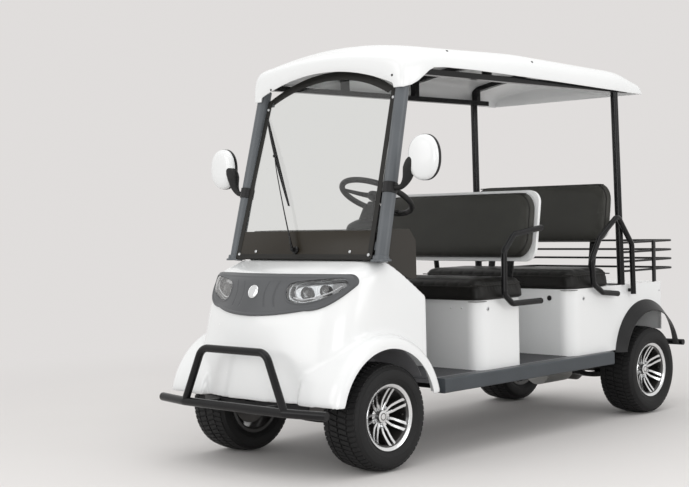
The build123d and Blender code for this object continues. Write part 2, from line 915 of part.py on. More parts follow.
def leaning_plate(seat, half_width, low, high, front, thickness, corner):
    """A rounded plate that leans back, placed by its distance behind the backrest's front face."""
    front_y, bottom_z = seat[:2]
    height = high - low
    outline = RectangleRounded(2 * half_width, height, corner)
    slab = extrude(outline, amount=thickness)
    slab = Rot(90, 0, 0) * slab
    slab = Pos(0, front + thickness, low + height / 2) * slab
    slab = Rot(-backrest_lean, 0, 0) * slab
    return Pos(0, front_y, bottom_z) * slab


def backrest(seat):
    return leaning_plate(seat, seat[4], 0, seat[2], 0, backrest_thickness, backrest_corner_r)


def backrest_shell(seat):
    margin = seat[5] - seat[4]
    shell = leaning_plate(
        seat,
        seat[5],
        -margin,
        seat[2] + margin,
        backrest_thickness + seat_gap,
        shell_thickness,
        backrest_corner_r,
    )
    return shell


save("cushion_front", cushion(cushion_front_y, seat_box_top))
save("cushion_rear", cushion(rear_cushion_front_y, rear_body_top))
save("backrest_front", backrest(front_backrest))
save("backrest_rear", backrest(rear_backrest))
save("backrest_shell_front", backrest_shell(front_backrest))
save("backrest_shell_rear", backrest_shell(rear_backrest))

# Cargo rack: rods round the deck on upright posts
rack_half_width = rear_post_foot[0]
rack_overhang = 320.0
rack_rear_y = wheelbase + rack_overhang
rack_rod_z = (759.0, 809.0, 858.0, 908.0)
rack_post_overhang = 110.0
rack_post_y = wheelbase + rack_post_overhang
rack_post_half = 5.0
rack_bend_r = 40.0


def cargo_rack():
    start_y = rear_post_foot[1] + rear_post_r + seat_gap
    rack = None
    for level in rack_rod_z:
        points = (
            (-rack_half_width, start_y, level),
            (-rack_half_width, rack_rear_y, level),
            (rack_half_width, rack_rear_y, level),
            (rack_half_width, start_y, level),
        )
        ring = bent_tube(points, rack_bend_r, rack_rod_r)
        rack = ring if rack is None else rack + ring
    post = block(
        rack_half_width - rack_post_half,
        rack_half_width + rack_post_half,
        rack_post_y - rack_post_half,
        rack_post_y + rack_post_half,
        rear_body_top,
        rack_rod_z[-1] + rack_rod_r,
    )
    return rack + post + mirrored(post)


save("cargo_rack", cargo_rack())

# Backrest supports: flat uprights from the seat box to the back of each shell
support_x = 330.0
support_width = 40.0
support_thickness = 8.0


def backrest_supports(seat, box_rear_y):
    """Two leaning straps that rise behind the shell, with a foot on the box behind the cushion."""
    strap = leaning_plate(
        seat, support_width / 2, seat[3] - seat[1] - 3 * support_width, seat[2] / 2,
        backrest_thickness + shell_thickness + 2 * seat_gap, support_thickness, support_thickness
    )
    strap = Pos(support_x, 0, 0) * strap
    if box_rear_y > seat[0]:
        keep = block(0, fender_outer_x, 0, wheelbase * 2, seat[3], roof_beam_bottom)
        return both(strap & keep)
    foot = block(
        support_x - support_width / 2, support_x + support_width / 2, box_rear_y,
        seat[0] + support_width, seat[3] - 2 * support_width, seat[3] - support_width
    )
    keep = block(0, fender_outer_x, 0, wheelbase * 2, seat[3] - 2 * support_width, roof_beam_bottom)
    return both((strap & keep) + foot)


# Hand rails: bent tubes beside each bench, with lugs to the shell and to the body side
# Columns of each table: place along Y, from the seat box's front or from the rear axle, and height
front_rail_reach = 42.0
rear_rail_reach = 38.0
rail_x_front = body_half_width + front_rail_reach
rail_x_rear = body_half_width + rear_rail_reach
rail_bend_r = 32.0
rail_lug_r = 9.0
front_rail_points = (
    (440.0, 1004.0),
    (220.0, 976.0),
    (143.0, 900.0),
    (140.0, 700.0),
    (200.0, 655.0),
    (425.0, 655.0),
)
rear_rail_points = (
    (-152.0, 640.0),
    (-160.0, 900.0),
    (-290.0, 1050.0),
    (-460.0, 940.0),
    (-536.0, 830.0),
    (-520.0, 710.0),
    (-440.0, 664.0),
    (-300.0, 650.0),
)
front_lug_places = ((440.0, 1004.0, front_backrest[5]), (270.0, 655.0, body_half_width))
rear_lug_places = ((-152.0, 660.0, rear_body_half_width), (-360.0, 656.0, rear_body_half_width))


def hand_rail(x, places, lugs, start_y):
    tube = bent_tube([(x, start_y + y, z) for y, z in places], rail_bend_r, hand_rail_r)
    for y, z, seat_x in lugs:
        tube = tube + rod((seat_x + seat_gap, start_y + y, z), (x, start_y + y, z), rail_lug_r)
    return both(tube)


save("backrest_supports", Compound(children=[
    backrest_supports(front_backrest, seat_box_rear_y),
    backrest_supports(rear_backrest, rear_body_rear_y),
]))
save("hand_rails_front", hand_rail(rail_x_front, front_rail_points, front_lug_places, seat_box_front_y))
save("hand_rails_rear", hand_rail(rail_x_rear, rear_rail_points, rear_lug_places, wheelbase))

# Front bumper: a low tube across the nose with a hoop on it, on two stubs from the rails
bumper_tube_z = 282.0
bumper_straight_x = 320.0
bumper_end_reach = 53.0
bumper_end_x = body_half_width + bumper_end_reach
bumper_bend_r = 120.0
hoop_base_x = 318.0
hoop_top_x = 205.0
hoop_top_z = 522.0
hoop_r = 17.0
hoop_bend_r = 62.0
hoop_lean = 8.0


def front_bumper():
    low = bent_tube(
        (
            (-bumper_end_x, bumper_end_y, bumper_tube_z),
            (-bumper_straight_x, bumper_tube_y, bumper_tube_z),
            (bumper_straight_x, bumper_tube_y, bumper_tube_z),
            (bumper_end_x, bumper_end_y, bumper_tube_z),
        ),
        bumper_bend_r,
        bumper_tube_r,
    )
    hoop = bent_tube(
        (
            (-hoop_base_x, bumper_tube_y, bumper_tube_z),
            (-hoop_top_x, bumper_tube_y + hoop_lean, hoop_top_z),
            (hoop_top_x, bumper_tube_y + hoop_lean, hoop_top_z),
            (hoop_base_x, bumper_tube_y, bumper_tube_z),
        ),
        hoop_bend_r,
        hoop_r,
    )
    stub = rod((rail_x, rail_front_y, bumper_stub_z), (rail_x, bumper_tube_y, bumper_stub_z), stub_r)
    return low + hoop + stub + mirrored(stub)


save("front_bumper", front_bumper())

# Rear bumper: one straight tube behind the deck on two arms from the rails
rear_bumper_reach = 30.0
rear_bumper_half_width = body_half_width + rear_bumper_reach
rear_bumper_z = 345.0
rear_arm_r = 14.0


def rear_bumper():
    tube = rod((-rear_bumper_half_width, rear_bumper_y, rear_bumper_z),
               (rear_bumper_half_width, rear_bumper_y, rear_bumper_z), rear_bumper_r)
    rail_end = (rail_x, rail_rear_y, rail_bottom + rail_height / 2)
    arm = rod(rail_end, (rail_x, rear_bumper_y, rear_bumper_z), rear_arm_r)
    arm = arm & block(0, fender_outer_x, rail_rear_y, rear_bumper_y, 0, rear_body_top)
    return tube + arm + mirrored(arm)


save("rear_bumper", rear_bumper())

# Wiper: a spindle on the glass, a long arm and a blade that the arm holds near its middle
wiper_pivot = (-35.0, 930.0)
wiper_blade_low = (-130.0, 1130.0)
wiper_blade_high = (-388.0, 1548.0)
wiper_arm_share = 0.55
wiper_arm_top = tuple(
    low + wiper_arm_share * (high - low) for low, high in zip(wiper_blade_low, wiper_blade_high)
)
wiper_arm_r = 5.0
wiper_blade_r = 6.0
wiper_stand = 14.0
wiper_gap = 3.0


def wiper():
    """Arm and blade lie in front of the glass, on a spindle that reaches it."""
    slope = (screen_top[1] - screen_bottom[1]) / (screen_top[2] - screen_bottom[2])
    length = hypot(1, slope)

    def over_glass(place, stand):
        x, z = place
        return (x, screen_y(z) - stand / length, z + stand * slope / length)

    high = wiper_stand + wiper_blade_r + wiper_gap + wiper_arm_r
    arm = rod(over_glass(wiper_pivot, high), over_glass(wiper_arm_top, high), wiper_arm_r)
    blade = rod(over_glass(wiper_blade_low, wiper_stand), over_glass(wiper_blade_high, wiper_stand), wiper_blade_r)
    knuckle = rod(over_glass(wiper_arm_top, high + 2 * wiper_arm_r),
                  over_glass(wiper_arm_top, wiper_stand - wiper_arm_r), wiper_blade_r * 2)
    spindle = rod(over_glass(wiper_pivot, high + 2 * wiper_arm_r), over_glass(wiper_pivot, seat_gap), wiper_arm_r * 2)
    return arm + blade + knuckle + spindle


save("wiper", wiper())

# Door mirrors: an oval head on a short bent arm from each pillar
mirror_reach = 167.0
mirror_centre = (body_half_width + mirror_reach, 100.0, 1318.0)
mirror_half = (82.0, 97.0)
mirror_depth = 48.0
mirror_edge_r = 18.0
mirror_arm_r = 9.0
mirror_arm_z = 1195.0


def mirrors():
    x, y, z = mirror_centre
    plane = Plane(origin=(x, y - mirror_depth / 2, z), x_dir=(1, 0, 0), z_dir=(0, 1, 0))
    head = extrude(plane * Ellipse(*mirror_half), amount=mirror_depth)
    head = fillet(head.edges().group_by(Axis.Y)[0], mirror_edge_r)
    rise = (pillar_top[1] - pillar_base[1]) / (roof_beam_bottom - cowl_top - pillar_foot_thickness)
    lean = (pillar_top[0] - pillar_base[0]) / (roof_beam_bottom - cowl_top - pillar_foot_thickness)
    climb = mirror_arm_z - cowl_top - pillar_foot_thickness
    start_x = pillar_base[0] + lean * climb + pillar_r + panel_gap
    start_y = pillar_base[1] + rise * climb
    arm = bent_tube(
        (
            (start_x, start_y, mirror_arm_z),
            (x, start_y, mirror_arm_z),
            (x, y, z - mirror_half[1] + mirror_edge_r),
        ),
        mirror_arm_r * 3,
        mirror_arm_r,
    )
    return both(head + arm)


save("mirrors", mirrors())

# Axles, springs and motor
beam_half = 20.0
fork_depth = 38.0
knuckle_half_width = 16.0
beam_end_x = kingpin_x - fork_depth
fork_end_x = kingpin_x + knuckle_half_width
fork_wall = 12.0
fork_gap_half = 40.0
kingpin_r = 12.0
spindle_r = 16.0
spindle_end = 52.0
running_gap = 0.05
fork_gap = 1.0
fork_ear = 14.0
steering_arm_half = 8.0
steering_arm_y = 96.0
tie_pin_r = 5.0
tie_eye_r = 12.0
tie_eye_height = 14.0
tie_bar_r = 6.0
rear_tube_r = 30.0
rear_tube_inset = 121.0
rear_tube_end_x = rear_half_track - rear_tube_inset
differential_r = 85.0
differential_half = 95.0
motor_r = 82.0
motor_lead = 315.0
motor_front_y = wheelbase - motor_lead
motor_rear_y = wheelbase - differential_r - seat_gap
spring_width = 45.0
spring_leaf = 8.0
spring_half_length_front = 285.0
spring_half_length_rear = 330.0
spring_leaves = 3


def front_axle():
    z = axle_height
    beam = block(-beam_end_x, beam_end_x, -beam_half, beam_half, z - beam_half, z + beam_half)
    for side in (1, -1):
        low_z = z - fork_gap_half - fork_ear
        high_z = z + fork_gap_half + fork_ear
        end = block(beam_end_x - fork_wall, fork_end_x, -beam_half, beam_half, low_z, high_z)
        gap = block(beam_end_x, fork_end_x + overrun, -beam_half - overrun, beam_half + overrun,
                    z - fork_gap_half, z + fork_gap_half)
        bore = Pos(kingpin_x, 0, z) * Cylinder(kingpin_r + running_gap, high_z - low_z + overrun)
        end = end - gap - bore
        if side < 0:
            end = mirrored(end)
        beam = beam + end
    return beam


def knuckle():
    """Left kingpin, spindle and steering arm."""
    z = axle_height
    half = fork_gap_half - fork_gap
    hub = block(kingpin_x - knuckle_half_width, kingpin_x + knuckle_half_width, -beam_half, beam_half, z - half, z + half)
    pin = Pos(kingpin_x, 0, z) * Cylinder(kingpin_r, 2 * (fork_gap_half + fork_ear + fork_gap))
    spindle = drum(spindle_r, kingpin_x, front_half_track + spindle_end, 0, z)
    arm = block(kingpin_x - steering_arm_half, kingpin_x + steering_arm_half, 0, steering_arm_y + steering_arm_half,
                z - steering_arm_half, z + steering_arm_half)
    ball = Pos(kingpin_x, steering_arm_y, z + steering_arm_half + tie_eye_height / 2) * Cylinder(
        tie_pin_r, tie_eye_height)
    return hub + pin + spindle + arm + ball


def tie_rod():
    """Track rod behind the axle with an eye over each arm's pin."""
    z = axle_height + steering_arm_half + tie_eye_height / 2 + seat_gap
    bar = rod((-kingpin_x, steering_arm_y, z), (kingpin_x, steering_arm_y, z), tie_bar_r)
    for x in (-kingpin_x, kingpin_x):
        eye = Pos(x, steering_arm_y, z) * Cylinder(tie_eye_r, tie_eye_height)
        bore = Pos(x, steering_arm_y, z) * Cylinder(tie_pin_r + running_gap, tie_eye_height + overrun)
        bar = (bar + eye) - bore
    return bar


def rear_axle():
    reach = rear_half_track + spindle_end
    half_profile = (
        (reach, 0), (reach, spindle_r), (rear_tube_end_x, spindle_r), (rear_tube_end_x, rear_tube_r),
        (differential_half, rear_tube_r), (differential_r / 2, differential_r),
    )
    profile = half_profile + tuple((-x, r) for x, r in reversed(half_profile))
    return Pos(0, wheelbase, axle_height) * turned(profile)


def drive_motor():
    """Plain block of the drive motor, in front of the axle's case."""
    plane = Plane(origin=(0, motor_front_y, axle_height), z_dir=(0, 1, 0))
    return extrude(plane * Circle(motor_r), amount=motor_rear_y - motor_front_y)


def leaf_pack(y, seat_z, half_length):
    """Nested leaves under the axle, each along the same arc, whose ends reach the rails."""
    pieces = []
    top_low = seat_z - seat_gap - spring_leaf
    full_rise = rail_bottom - seat_gap - spring_leaf - top_low
    arc_r = (half_length ** 2 + full_rise ** 2) / (2 * full_rise)
    x0 = rail_x - spring_width / 2
    for leaf in range(spring_leaves):
        reach = half_length * (1 - leaf / (2 * spring_leaves))
        rise = arc_r - sqrt(arc_r ** 2 - reach ** 2)
        low = top_low - leaf * (spring_leaf + seat_gap)
        high = low + spring_leaf
        edges = [
            ThreePointArc((x0, y - reach, low + rise), (x0, y, low), (x0, y + reach, low + rise)),
            Line((x0, y + reach, low + rise), (x0, y + reach, high + rise)),
            ThreePointArc((x0, y + reach, high + rise), (x0, y, high), (x0, y - reach, high + rise)),
            Line((x0, y - reach, high + rise), (x0, y - reach, low + rise)),
        ]
        pieces.append(extrude(make_face(Curve() + edges), amount=spring_width, dir=(1, 0, 0)))
    return pieces


def turned(points):
    """A solid turned about X from (x, radius) points."""
    face = make_face(Polyline(*[(x, 0, r) for x, r in points], close=True))
    return revolve(face, axis=Axis.X)


save("front_axle", front_axle())
save("rear_axle", rear_axle())
save("drive_motor", drive_motor())
save("knuckle_left", knuckle())
save("knuckle_right", mirrored(knuckle()))
save("tie_rod", tie_rod())

# Battery under the front bench, standing on the floor
battery_half_width = 380.0
battery_length = 250.0
battery_height = 240.0


def battery_block():
    middle = (seat_box_front_y + seat_box_rear_y) / 2
    return block(-battery_half_width, battery_half_width, middle - battery_length / 2, middle + battery_length / 2,
                 floor_top, floor_top + battery_height)


save("battery_block", battery_block())

# Wheels: alloy rim with six pairs of spokes, and a tyre
rim_flange_r = 142.0
rim_flange_x = 90.0
rim_flange_wall = 6.0
rim_bead_r = 127.0
rim_wall = 7.0
spoke_pairs = 6
spoke_pair_half_angle = 11.0
spoke_half_width = 7.0
spoke_inner_r = 34.0
spoke_low_x = 56.0
spoke_thickness = 16.0
hub_r = 44.0
hub_cap_r = 30.0
hub_inner_x = -60.0
hub_end_x = 74.0
brake_drum_r = 100.0
brake_drum_x = (-59.0, -12.0)
tyre_bead_half = 83.0
tyre_bulge_r = 186.0
tyre_shoulder_half = 90.0
tyre_shoulder_r = 221.0


def rim():
    """Rim with spokes, hub and brake drum about the X axis, outer face towards +X."""
    outer, wall = rim_flange_x, rim_flange_wall
    barrel = turned((
        (-outer, rim_bead_r - rim_wall), (-outer, rim_flange_r), (wall - outer, rim_flange_r),
        (wall - outer, rim_bead_r), (outer - wall, rim_bead_r), (outer - wall, rim_flange_r),
        (outer, rim_flange_r), (outer, rim_bead_r - rim_wall),
    ))
    hub = drum(hub_r, hub_inner_x, hub_end_x, 0, 0) - drum(
        spindle_r + running_gap, hub_inner_x - overrun, spindle_end + fork_gap, 0, 0)
    wheel = barrel + hub + (drum(brake_drum_r, *brake_drum_x, 0, 0) - drum(hub_r, *brake_drum_x, 0, 0))
    reach = rim_bead_r - rim_wall / 2
    bar = block(spoke_low_x, spoke_low_x + spoke_thickness, -spoke_half_width, spoke_half_width, spoke_inner_r, reach)
    for pair in range(spoke_pairs):
        for lean in (-spoke_pair_half_angle, spoke_pair_half_angle):
            wheel = wheel + Rot(pair * 360 / spoke_pairs + lean, 0, 0) * bar
    return wheel


def tyre():
    bead, bead_r = tyre_bead_half, rim_bead_r + seat_gap
    bulge = tyre_width / 2
    flange_r = rim_flange_r + seat_gap
    shoulder, shoulder_r = tyre_shoulder_half, tyre_shoulder_r
    edges = [
        Line((-bead, 0, bead_r), (bead, 0, bead_r)),
        Line((bead, 0, bead_r), (bead, 0, flange_r)),
        ThreePointArc((bead, 0, flange_r), (bulge, 0, tyre_bulge_r), (shoulder, 0, shoulder_r)),
        ThreePointArc((shoulder, 0, shoulder_r), (0, 0, tyre_diameter / 2), (-shoulder, 0, shoulder_r)),
        ThreePointArc((-shoulder, 0, shoulder_r), (-bulge, 0, tyre_bulge_r), (-bead, 0, flange_r)),
        Line((-bead, 0, flange_r), (-bead, 0, bead_r)),
    ]
    return revolve(make_face(Curve() + edges), axis=Axis.X)


rim_solid = rim()
tyre_solid = tyre()
# Columns: name, side, track, place along Y
wheel_places = (
    ("front_left", 1, front_half_track, 0.0),
    ("front_right", -1, front_half_track, 0.0),
    ("rear_left", 1, rear_half_track, wheelbase),
    ("rear_right", -1, rear_half_track, wheelbase),
)
for name, side, track, y in wheel_places:
    for node, solid in (("rim", rim_solid), ("tyre", tyre_solid)):
        placed = Pos(track, y, axle_height) * solid
        if side < 0:
            placed = mirrored(placed)
        save(node + "_" + name, placed)

spring_seat_front = axle_height - beam_half
spring_seat_rear = axle_height - rear_tube_r
springs = leaf_pack(0, spring_seat_front, spring_half_length_front)
springs += leaf_pack(wheelbase, spring_seat_rear, spring_half_length_rear)
save("leaf_springs", Compound(children=springs + [mirrored(leaf) for leaf in springs]))

# Steering column and wheel on the left
wheel_centre = (230.0, 252.0, 1161.0)
wheel_tilt = 28.0
wheel_ring_r = 162.0
wheel_grip_r = 13.0
wheel_hub_r = 42.0
wheel_hub_half = 14.0
wheel_spoke_half = (11.0, 5.0)
wheel_spoke_angles = (90, 210, 330)
column_r = 30.0
shaft_r = 12.6
column_bore_r = shaft_r + running_gap
column_low = -235.0
column_high = -38.0


def on_column(shape):
    """Place a shape, made about the Z axis, on the steering axis."""
    return Pos(*wheel_centre) * Rot(-wheel_tilt, 0, 0) * shape


def column_solid(radius, low, high):
    return on_column(Pos(0, 0, (low + high) / 2) * Cylinder(radius, high - low))


def steering_wheel():
    ring = Torus(wheel_ring_r, wheel_grip_r)
    hub = Cylinder(wheel_hub_r, 2 * wheel_hub_half)
    wheel = ring + hub
    half_width, half_height = wheel_spoke_half
    for angle in wheel_spoke_angles:
        spoke = block(0, wheel_ring_r, -half_width, half_width, -half_height, half_height)
        wheel = wheel + Rot(0, 0, angle) * spoke
    shaft = Pos(0, 0, column_high) * Cylinder(shaft_r, -2 * column_high)
    return on_column(wheel + shaft)


def steering_column():
    outer = column_solid(column_r, column_low, column_high)
    return outer - column_solid(column_bore_r, 2 * column_high - seat_gap, 0)


save("steering_column", steering_column())
save("steering_wheel", steering_wheel())

save("dashboard", dashboard() - column_solid(column_r + seat_gap, column_low - overrun, column_high))
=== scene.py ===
# %% [markdown]
# # An open electric people carrier
# The vehicle has a white moulded nose and roof, a black tube frame, two padded benches and a rear deck.
# The solids of the frame come in ready made. This script dresses them: it paints the ones whose shape is
# right, and builds a finer piece where the real one has a curve, a cushion or a tread that the solid lacks.

# %% Load the frame
import math

import bmesh
import bpy
import numpy as np
from mathutils import Matrix, Vector


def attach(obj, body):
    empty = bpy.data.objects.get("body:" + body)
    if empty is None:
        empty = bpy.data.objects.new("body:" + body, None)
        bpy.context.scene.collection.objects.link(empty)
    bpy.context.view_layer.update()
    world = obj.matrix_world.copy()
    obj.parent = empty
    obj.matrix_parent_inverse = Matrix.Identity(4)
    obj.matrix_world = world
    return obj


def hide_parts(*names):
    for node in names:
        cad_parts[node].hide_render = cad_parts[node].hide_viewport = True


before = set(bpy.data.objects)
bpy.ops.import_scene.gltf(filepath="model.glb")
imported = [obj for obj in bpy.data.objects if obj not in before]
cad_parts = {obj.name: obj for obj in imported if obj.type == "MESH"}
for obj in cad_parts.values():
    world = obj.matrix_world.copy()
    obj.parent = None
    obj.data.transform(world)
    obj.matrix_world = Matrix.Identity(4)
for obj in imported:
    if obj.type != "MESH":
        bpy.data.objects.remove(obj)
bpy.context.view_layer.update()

# %% [markdown]
# ## Places
# The body was measured in millimetres from the front axle. One helper turns such a place into metres in the
# frame, so that every number below can be read as a tape measure would give it.

# %% Places in millimetres
AXLE_Y = -995.0
AXLE_Z = 229.5
WHEELBASE = 2060.0


def at(x, y, z):
    """A place in millimetres from the front axle, as a point of the frame in metres."""
    return Vector((x / 1000, (y + AXLE_Y) / 1000, z / 1000))


def mm(value):
    return value / 1000


# %% [markdown]
# The camera was solved from the picture. It is needed this early because small fittings are set where its
# rays meet the piece that carries them.

# %% The camera's place and turn
PICTURE_WIDE, PICTURE_HIGH = 689, 487
FOCAL_PIXELS = 1330
EYE = Vector((4.2613, -5.1122, 1.0761))
YAW, PITCH, ROLL = math.radians(44.139), math.radians(1.148), math.radians(-1.301)
AHEAD = Vector((-math.sin(YAW) * math.cos(PITCH), math.cos(YAW) * math.cos(PITCH), -math.sin(PITCH)))
LEVEL = AHEAD.cross(Vector((0, 0, 1))).normalized()
RIGHT = LEVEL * math.cos(ROLL) + LEVEL.cross(AHEAD) * math.sin(ROLL)
ABOVE = RIGHT.cross(AHEAD)


def seen_on(piece, u, v):
    """Where the ray through a pixel of the picture meets a piece: its place and normal."""
    across, down = (u - PICTURE_WIDE / 2) / FOCAL_PIXELS, (v - PICTURE_HIGH / 2) / FOCAL_PIXELS
    way = (AHEAD + RIGHT * across - ABOVE * down).normalized()
    _, place, normal, _ = piece.ray_cast(EYE, way)
    return place, normal if normal.dot(way) < 0 else -normal


print("camera", round(EYE.length, 2), "m from the frame's origin")

# %% [markdown]
# ## Meshes from rows of points
# Most mouldings are skins: rows of points, joined by quads. The same helper closes a row into a ring, joins
# the last row to the first, and caps the ends, so that a lathe turning and a moulded bonnet use one function.

# %% Mesh helpers
def new_piece(name, points, faces):
    """A linked object from points and faces, with smooth shading."""
    mesh = bpy.data.meshes.new(name)
    mesh.from_pydata([tuple(p) for p in points], [], [tuple(f) for f in faces])
    mesh.update()
    mesh.shade_smooth()
    piece = bpy.data.objects.new(name, mesh)
    bpy.context.scene.collection.objects.link(piece)
    return piece


def skin(name, rows, ring=False, loop=False, caps=False):
    """Quads between rows of points: ring closes each row, loop joins the last row to the first."""
    count, width = len(rows), len(rows[0])
    points = [p for row in rows for p in row]
    faces = []
    for i in range(count if loop else count - 1):
        for j in range(width if ring else width - 1):
            a, b = i * width + j, i * width + (j + 1) % width
            c, d = ((i + 1) % count) * width + (j + 1) % width, ((i + 1) % count) * width + j
            faces.append((a, b, c, d))
    if caps:
        faces.append(tuple(range(width))[::-1])
        faces.append(tuple(range((count - 1) * width, count * width)))
    return new_piece(name, points, faces)


def outward(piece, merge=1e-6):
    """Merges doubles and turns every face outwards."""
    edit = bmesh.new()
    edit.from_mesh(piece.data)
    bmesh.ops.remove_doubles(edit, verts=edit.verts, dist=merge)
    bmesh.ops.recalc_face_normals(edit, faces=edit.faces)
    edit.to_mesh(piece.data)
    edit.free()
    return piece


def bake(piece):
    """Applies the modifiers, so that the piece is a plain mesh."""
    graph = bpy.context.evaluated_depsgraph_get()
    mesh = bpy.data.meshes.new_from_object(piece.evaluated_get(graph))
    piece.modifiers.clear()
    old = piece.data
    piece.data = mesh
    bpy.data.meshes.remove(old)
    return piece


def crease(piece, degrees=35):
    """Smooth shading, but for edges that turn more sharply than an angle."""
    piece.data.shade_smooth()
    piece.data.set_sharp_from_angle(angle=math.radians(degrees))
    return piece


def rounded(piece, width, segments=2, degrees=30):
    """A small rounding on the sharp edges, as a moulding or a casting has."""
    bevel = piece.modifiers.new("rounding", "BEVEL")
    bevel.width, bevel.segments, bevel.limit_method = mm(width), segments, "ANGLE"
    bevel.angle_limit = math.radians(degrees)
    bevel.harden_normals = False
    return crease(bake(piece), 50)


def joined(name, pieces):
    """Several meshes as one object."""
    edit = bmesh.new()
    for piece in pieces:
        edit.from_mesh(piece.data)
    mesh = bpy.data.meshes.new(name)
    edit.to_mesh(mesh)
    edit.free()
    for piece in pieces:
        bpy.data.objects.remove(piece)
    whole = bpy.data.objects.new(name, mesh)
    bpy.context.scene.collection.objects.link(whole)
    mesh.shade_smooth()
    return whole


def carve(piece, cutter, operation="DIFFERENCE", keep=False):
    """One solid cut by, joined to or held inside another."""
    tool = piece.modifiers.new("carve", "BOOLEAN")
    tool.solver, tool.operation, tool.object = "MANIFOLD", operation, cutter
    bake(piece)
    if not keep:
        bpy.data.objects.remove(cutter)
    return piece


def remesh(piece, voxel, smoothing):
    """An even skin of small quads, softened, so that joined forms flow into each other."""
    grid = piece.modifiers.new("grid", "REMESH")
    grid.mode, grid.voxel_size = "VOXEL", mm(voxel)
    soft = piece.modifiers.new("soft", "SMOOTH")
    soft.factor, soft.iterations = 0.5, smoothing
    return crease(bake(piece), 60)


def copied(piece, name):
    """A copy with a mesh of its own."""
    twin = piece.copy()
    twin.data = piece.data.copy()
    twin.name = name
    bpy.context.scene.collection.objects.link(twin)
    return twin


def mirrored(piece, name):
    """The piece's mirror image across the middle of the vehicle."""
    twin = copied(piece, name)
    twin.data.transform(Matrix.Diagonal((-1, 1, 1, 1)))
    twin.data.flip_normals()
    return twin


def on_right(piece, name):
    """The mirror image in place of the piece."""
    twin = mirrored(piece, name + "_twin")
    bpy.data.objects.remove(piece)
    twin.name = name
    return twin


def prism(name, rows):
    """A closed piece between the first and the last of some rings."""
    return outward(skin(name, rows, ring=True, caps=True))


def evenly(line, count):
    """As many points as asked for, evenly spaced along an open line of (a, b) pairs."""
    line = np.array(line)
    steps = np.r_[0, np.cumsum(np.hypot(*np.diff(line, axis=0).T))]
    even = np.linspace(0, steps[-1], count)
    return np.c_[np.interp(even, steps, line[:, 0]), np.interp(even, steps, line[:, 1])]


def relaxed(line, times):
    """The line with each point drawn towards its neighbours, and its ends left where they are."""
    for _ in range(times):
        line[1:-1] = 0.5 * line[1:-1] + 0.25 * (line[:-2] + line[2:])
    return line


def circle_angles(count):
    """Angles evenly round a circle."""
    return [2 * math.pi * k / count for k in range(count)]


# %% [markdown]
# ## Lathe turnings, boxes and tubes
# Wheels, knobs, screws and lamp bowls are turned; brackets are blocks with softened edges; rails are tubes
# swept along a smooth line. Each helper returns a closed piece at its own place.

# %% Turned pieces, blocks and tubes
def basis(axis):
    """Two directions square to an axis."""
    axis = Vector(axis).normalized()
    side = axis.orthogonal().normalized()
    return axis, side, axis.cross(side)


def turned(name, profile, centre, axis, segments=48):
    """Turns (distance along the axis, radius) pairs in millimetres about an axis."""
    axis, side, up = basis(axis)
    rows = []
    for along, radius in profile:
        rows.append([centre + axis * mm(along) + (side * math.cos(a) + up * math.sin(a)) * mm(radius)
                     for a in circle_angles(segments)])
    return outward(skin(name, rows, ring=True, caps=True), 1e-5)


def block(name, low, high):
    """A box between two corners in millimetres from the front axle."""
    (x0, y0, z0), (x1, y1, z1) = at(*low), at(*high)
    points = [(x, y, z) for x in (x0, x1) for y in (y0, y1) for z in (z0, z1)]
    faces = [(0, 1, 3, 2), (4, 6, 7, 5), (0, 4, 5, 1), (2, 3, 7, 6), (0, 2, 6, 4), (1, 5, 7, 3)]
    return outward(new_piece(name, points, faces))


def soften(points, steps, closed=False):
    """A smooth line through points."""
    count = len(points)
    line = []
    for i in range(count if closed else count - 1):
        before = points[(i - 1) % count] if closed or i > 0 else points[i]
        after = points[(i + 2) % count] if closed or i + 2 < count else points[(i + 1) % count]
        a, b = points[i], points[(i + 1) % count]
        for k in range(steps):
            t = k / steps
            line.append(
                0.5 * ((2 * a) + (b - before) * t + (2 * before - 5 * a + 4 * b - after) * t ** 2
                       + (3 * a - before - 3 * b + after) * t ** 3)
            )
    if not closed:
        line.append(points[-1])
    return line


def tube(name, line, radius, sides=12, closed=False, flat=1.0):
    """A round or flattened tube along a line of points, with closed ends."""
    count = len(line)
    rows = []
    up = None
    for i in range(count):
        a = line[(i - 1) % count] if closed or i else line[0]
        b = line[(i + 1) % count] if closed or i < count - 1 else line[-1]
        way = (b - a).normalized()
        if up is None:
            up = way.orthogonal().normalized()
        up = (up - way * up.dot(way)).normalized()
        side = way.cross(up)
        width = radius[i] if isinstance(radius, (list, tuple)) else radius
        rows.append([line[i] + (up * math.cos(a) * flat + side * math.sin(a)) * mm(width)
                     for a in circle_angles(sides)])
    return outward(skin(name, rows, ring=True, loop=closed, caps=not closed), 1e-7)


def front_plate(name, outline, y0, y1):
    """A prism along Y of an outline in (x, z) millimetres."""
    return prism(name, [[at(x, y, z) for x, z in outline] for y in (y0, y1)])


def side_plate(name, outline, x0, x1):
    """A prism along X of an outline in (y, z) millimetres."""
    return prism(name, [[at(x, y, z) for y, z in outline] for x in (x0, x1)])


def smooth_outline(points, steps=8):
    """A rounded closed outline through (a, b) pairs."""
    line = soften([Vector((a, b, 0)) for a, b in points], steps, closed=True)
    return [(p.x, p.y) for p in line]


print("helpers ready")

# %% [markdown]
# ## Shader maths as plain sums
# A material is a small sum: a base value, plus noise, times a mask. Wrapping a socket in a class lets the
# script write that sum with +, - and *, and each sign adds the Math node that does it. Colours are mixed,
# never added, because a Math node would turn them grey.

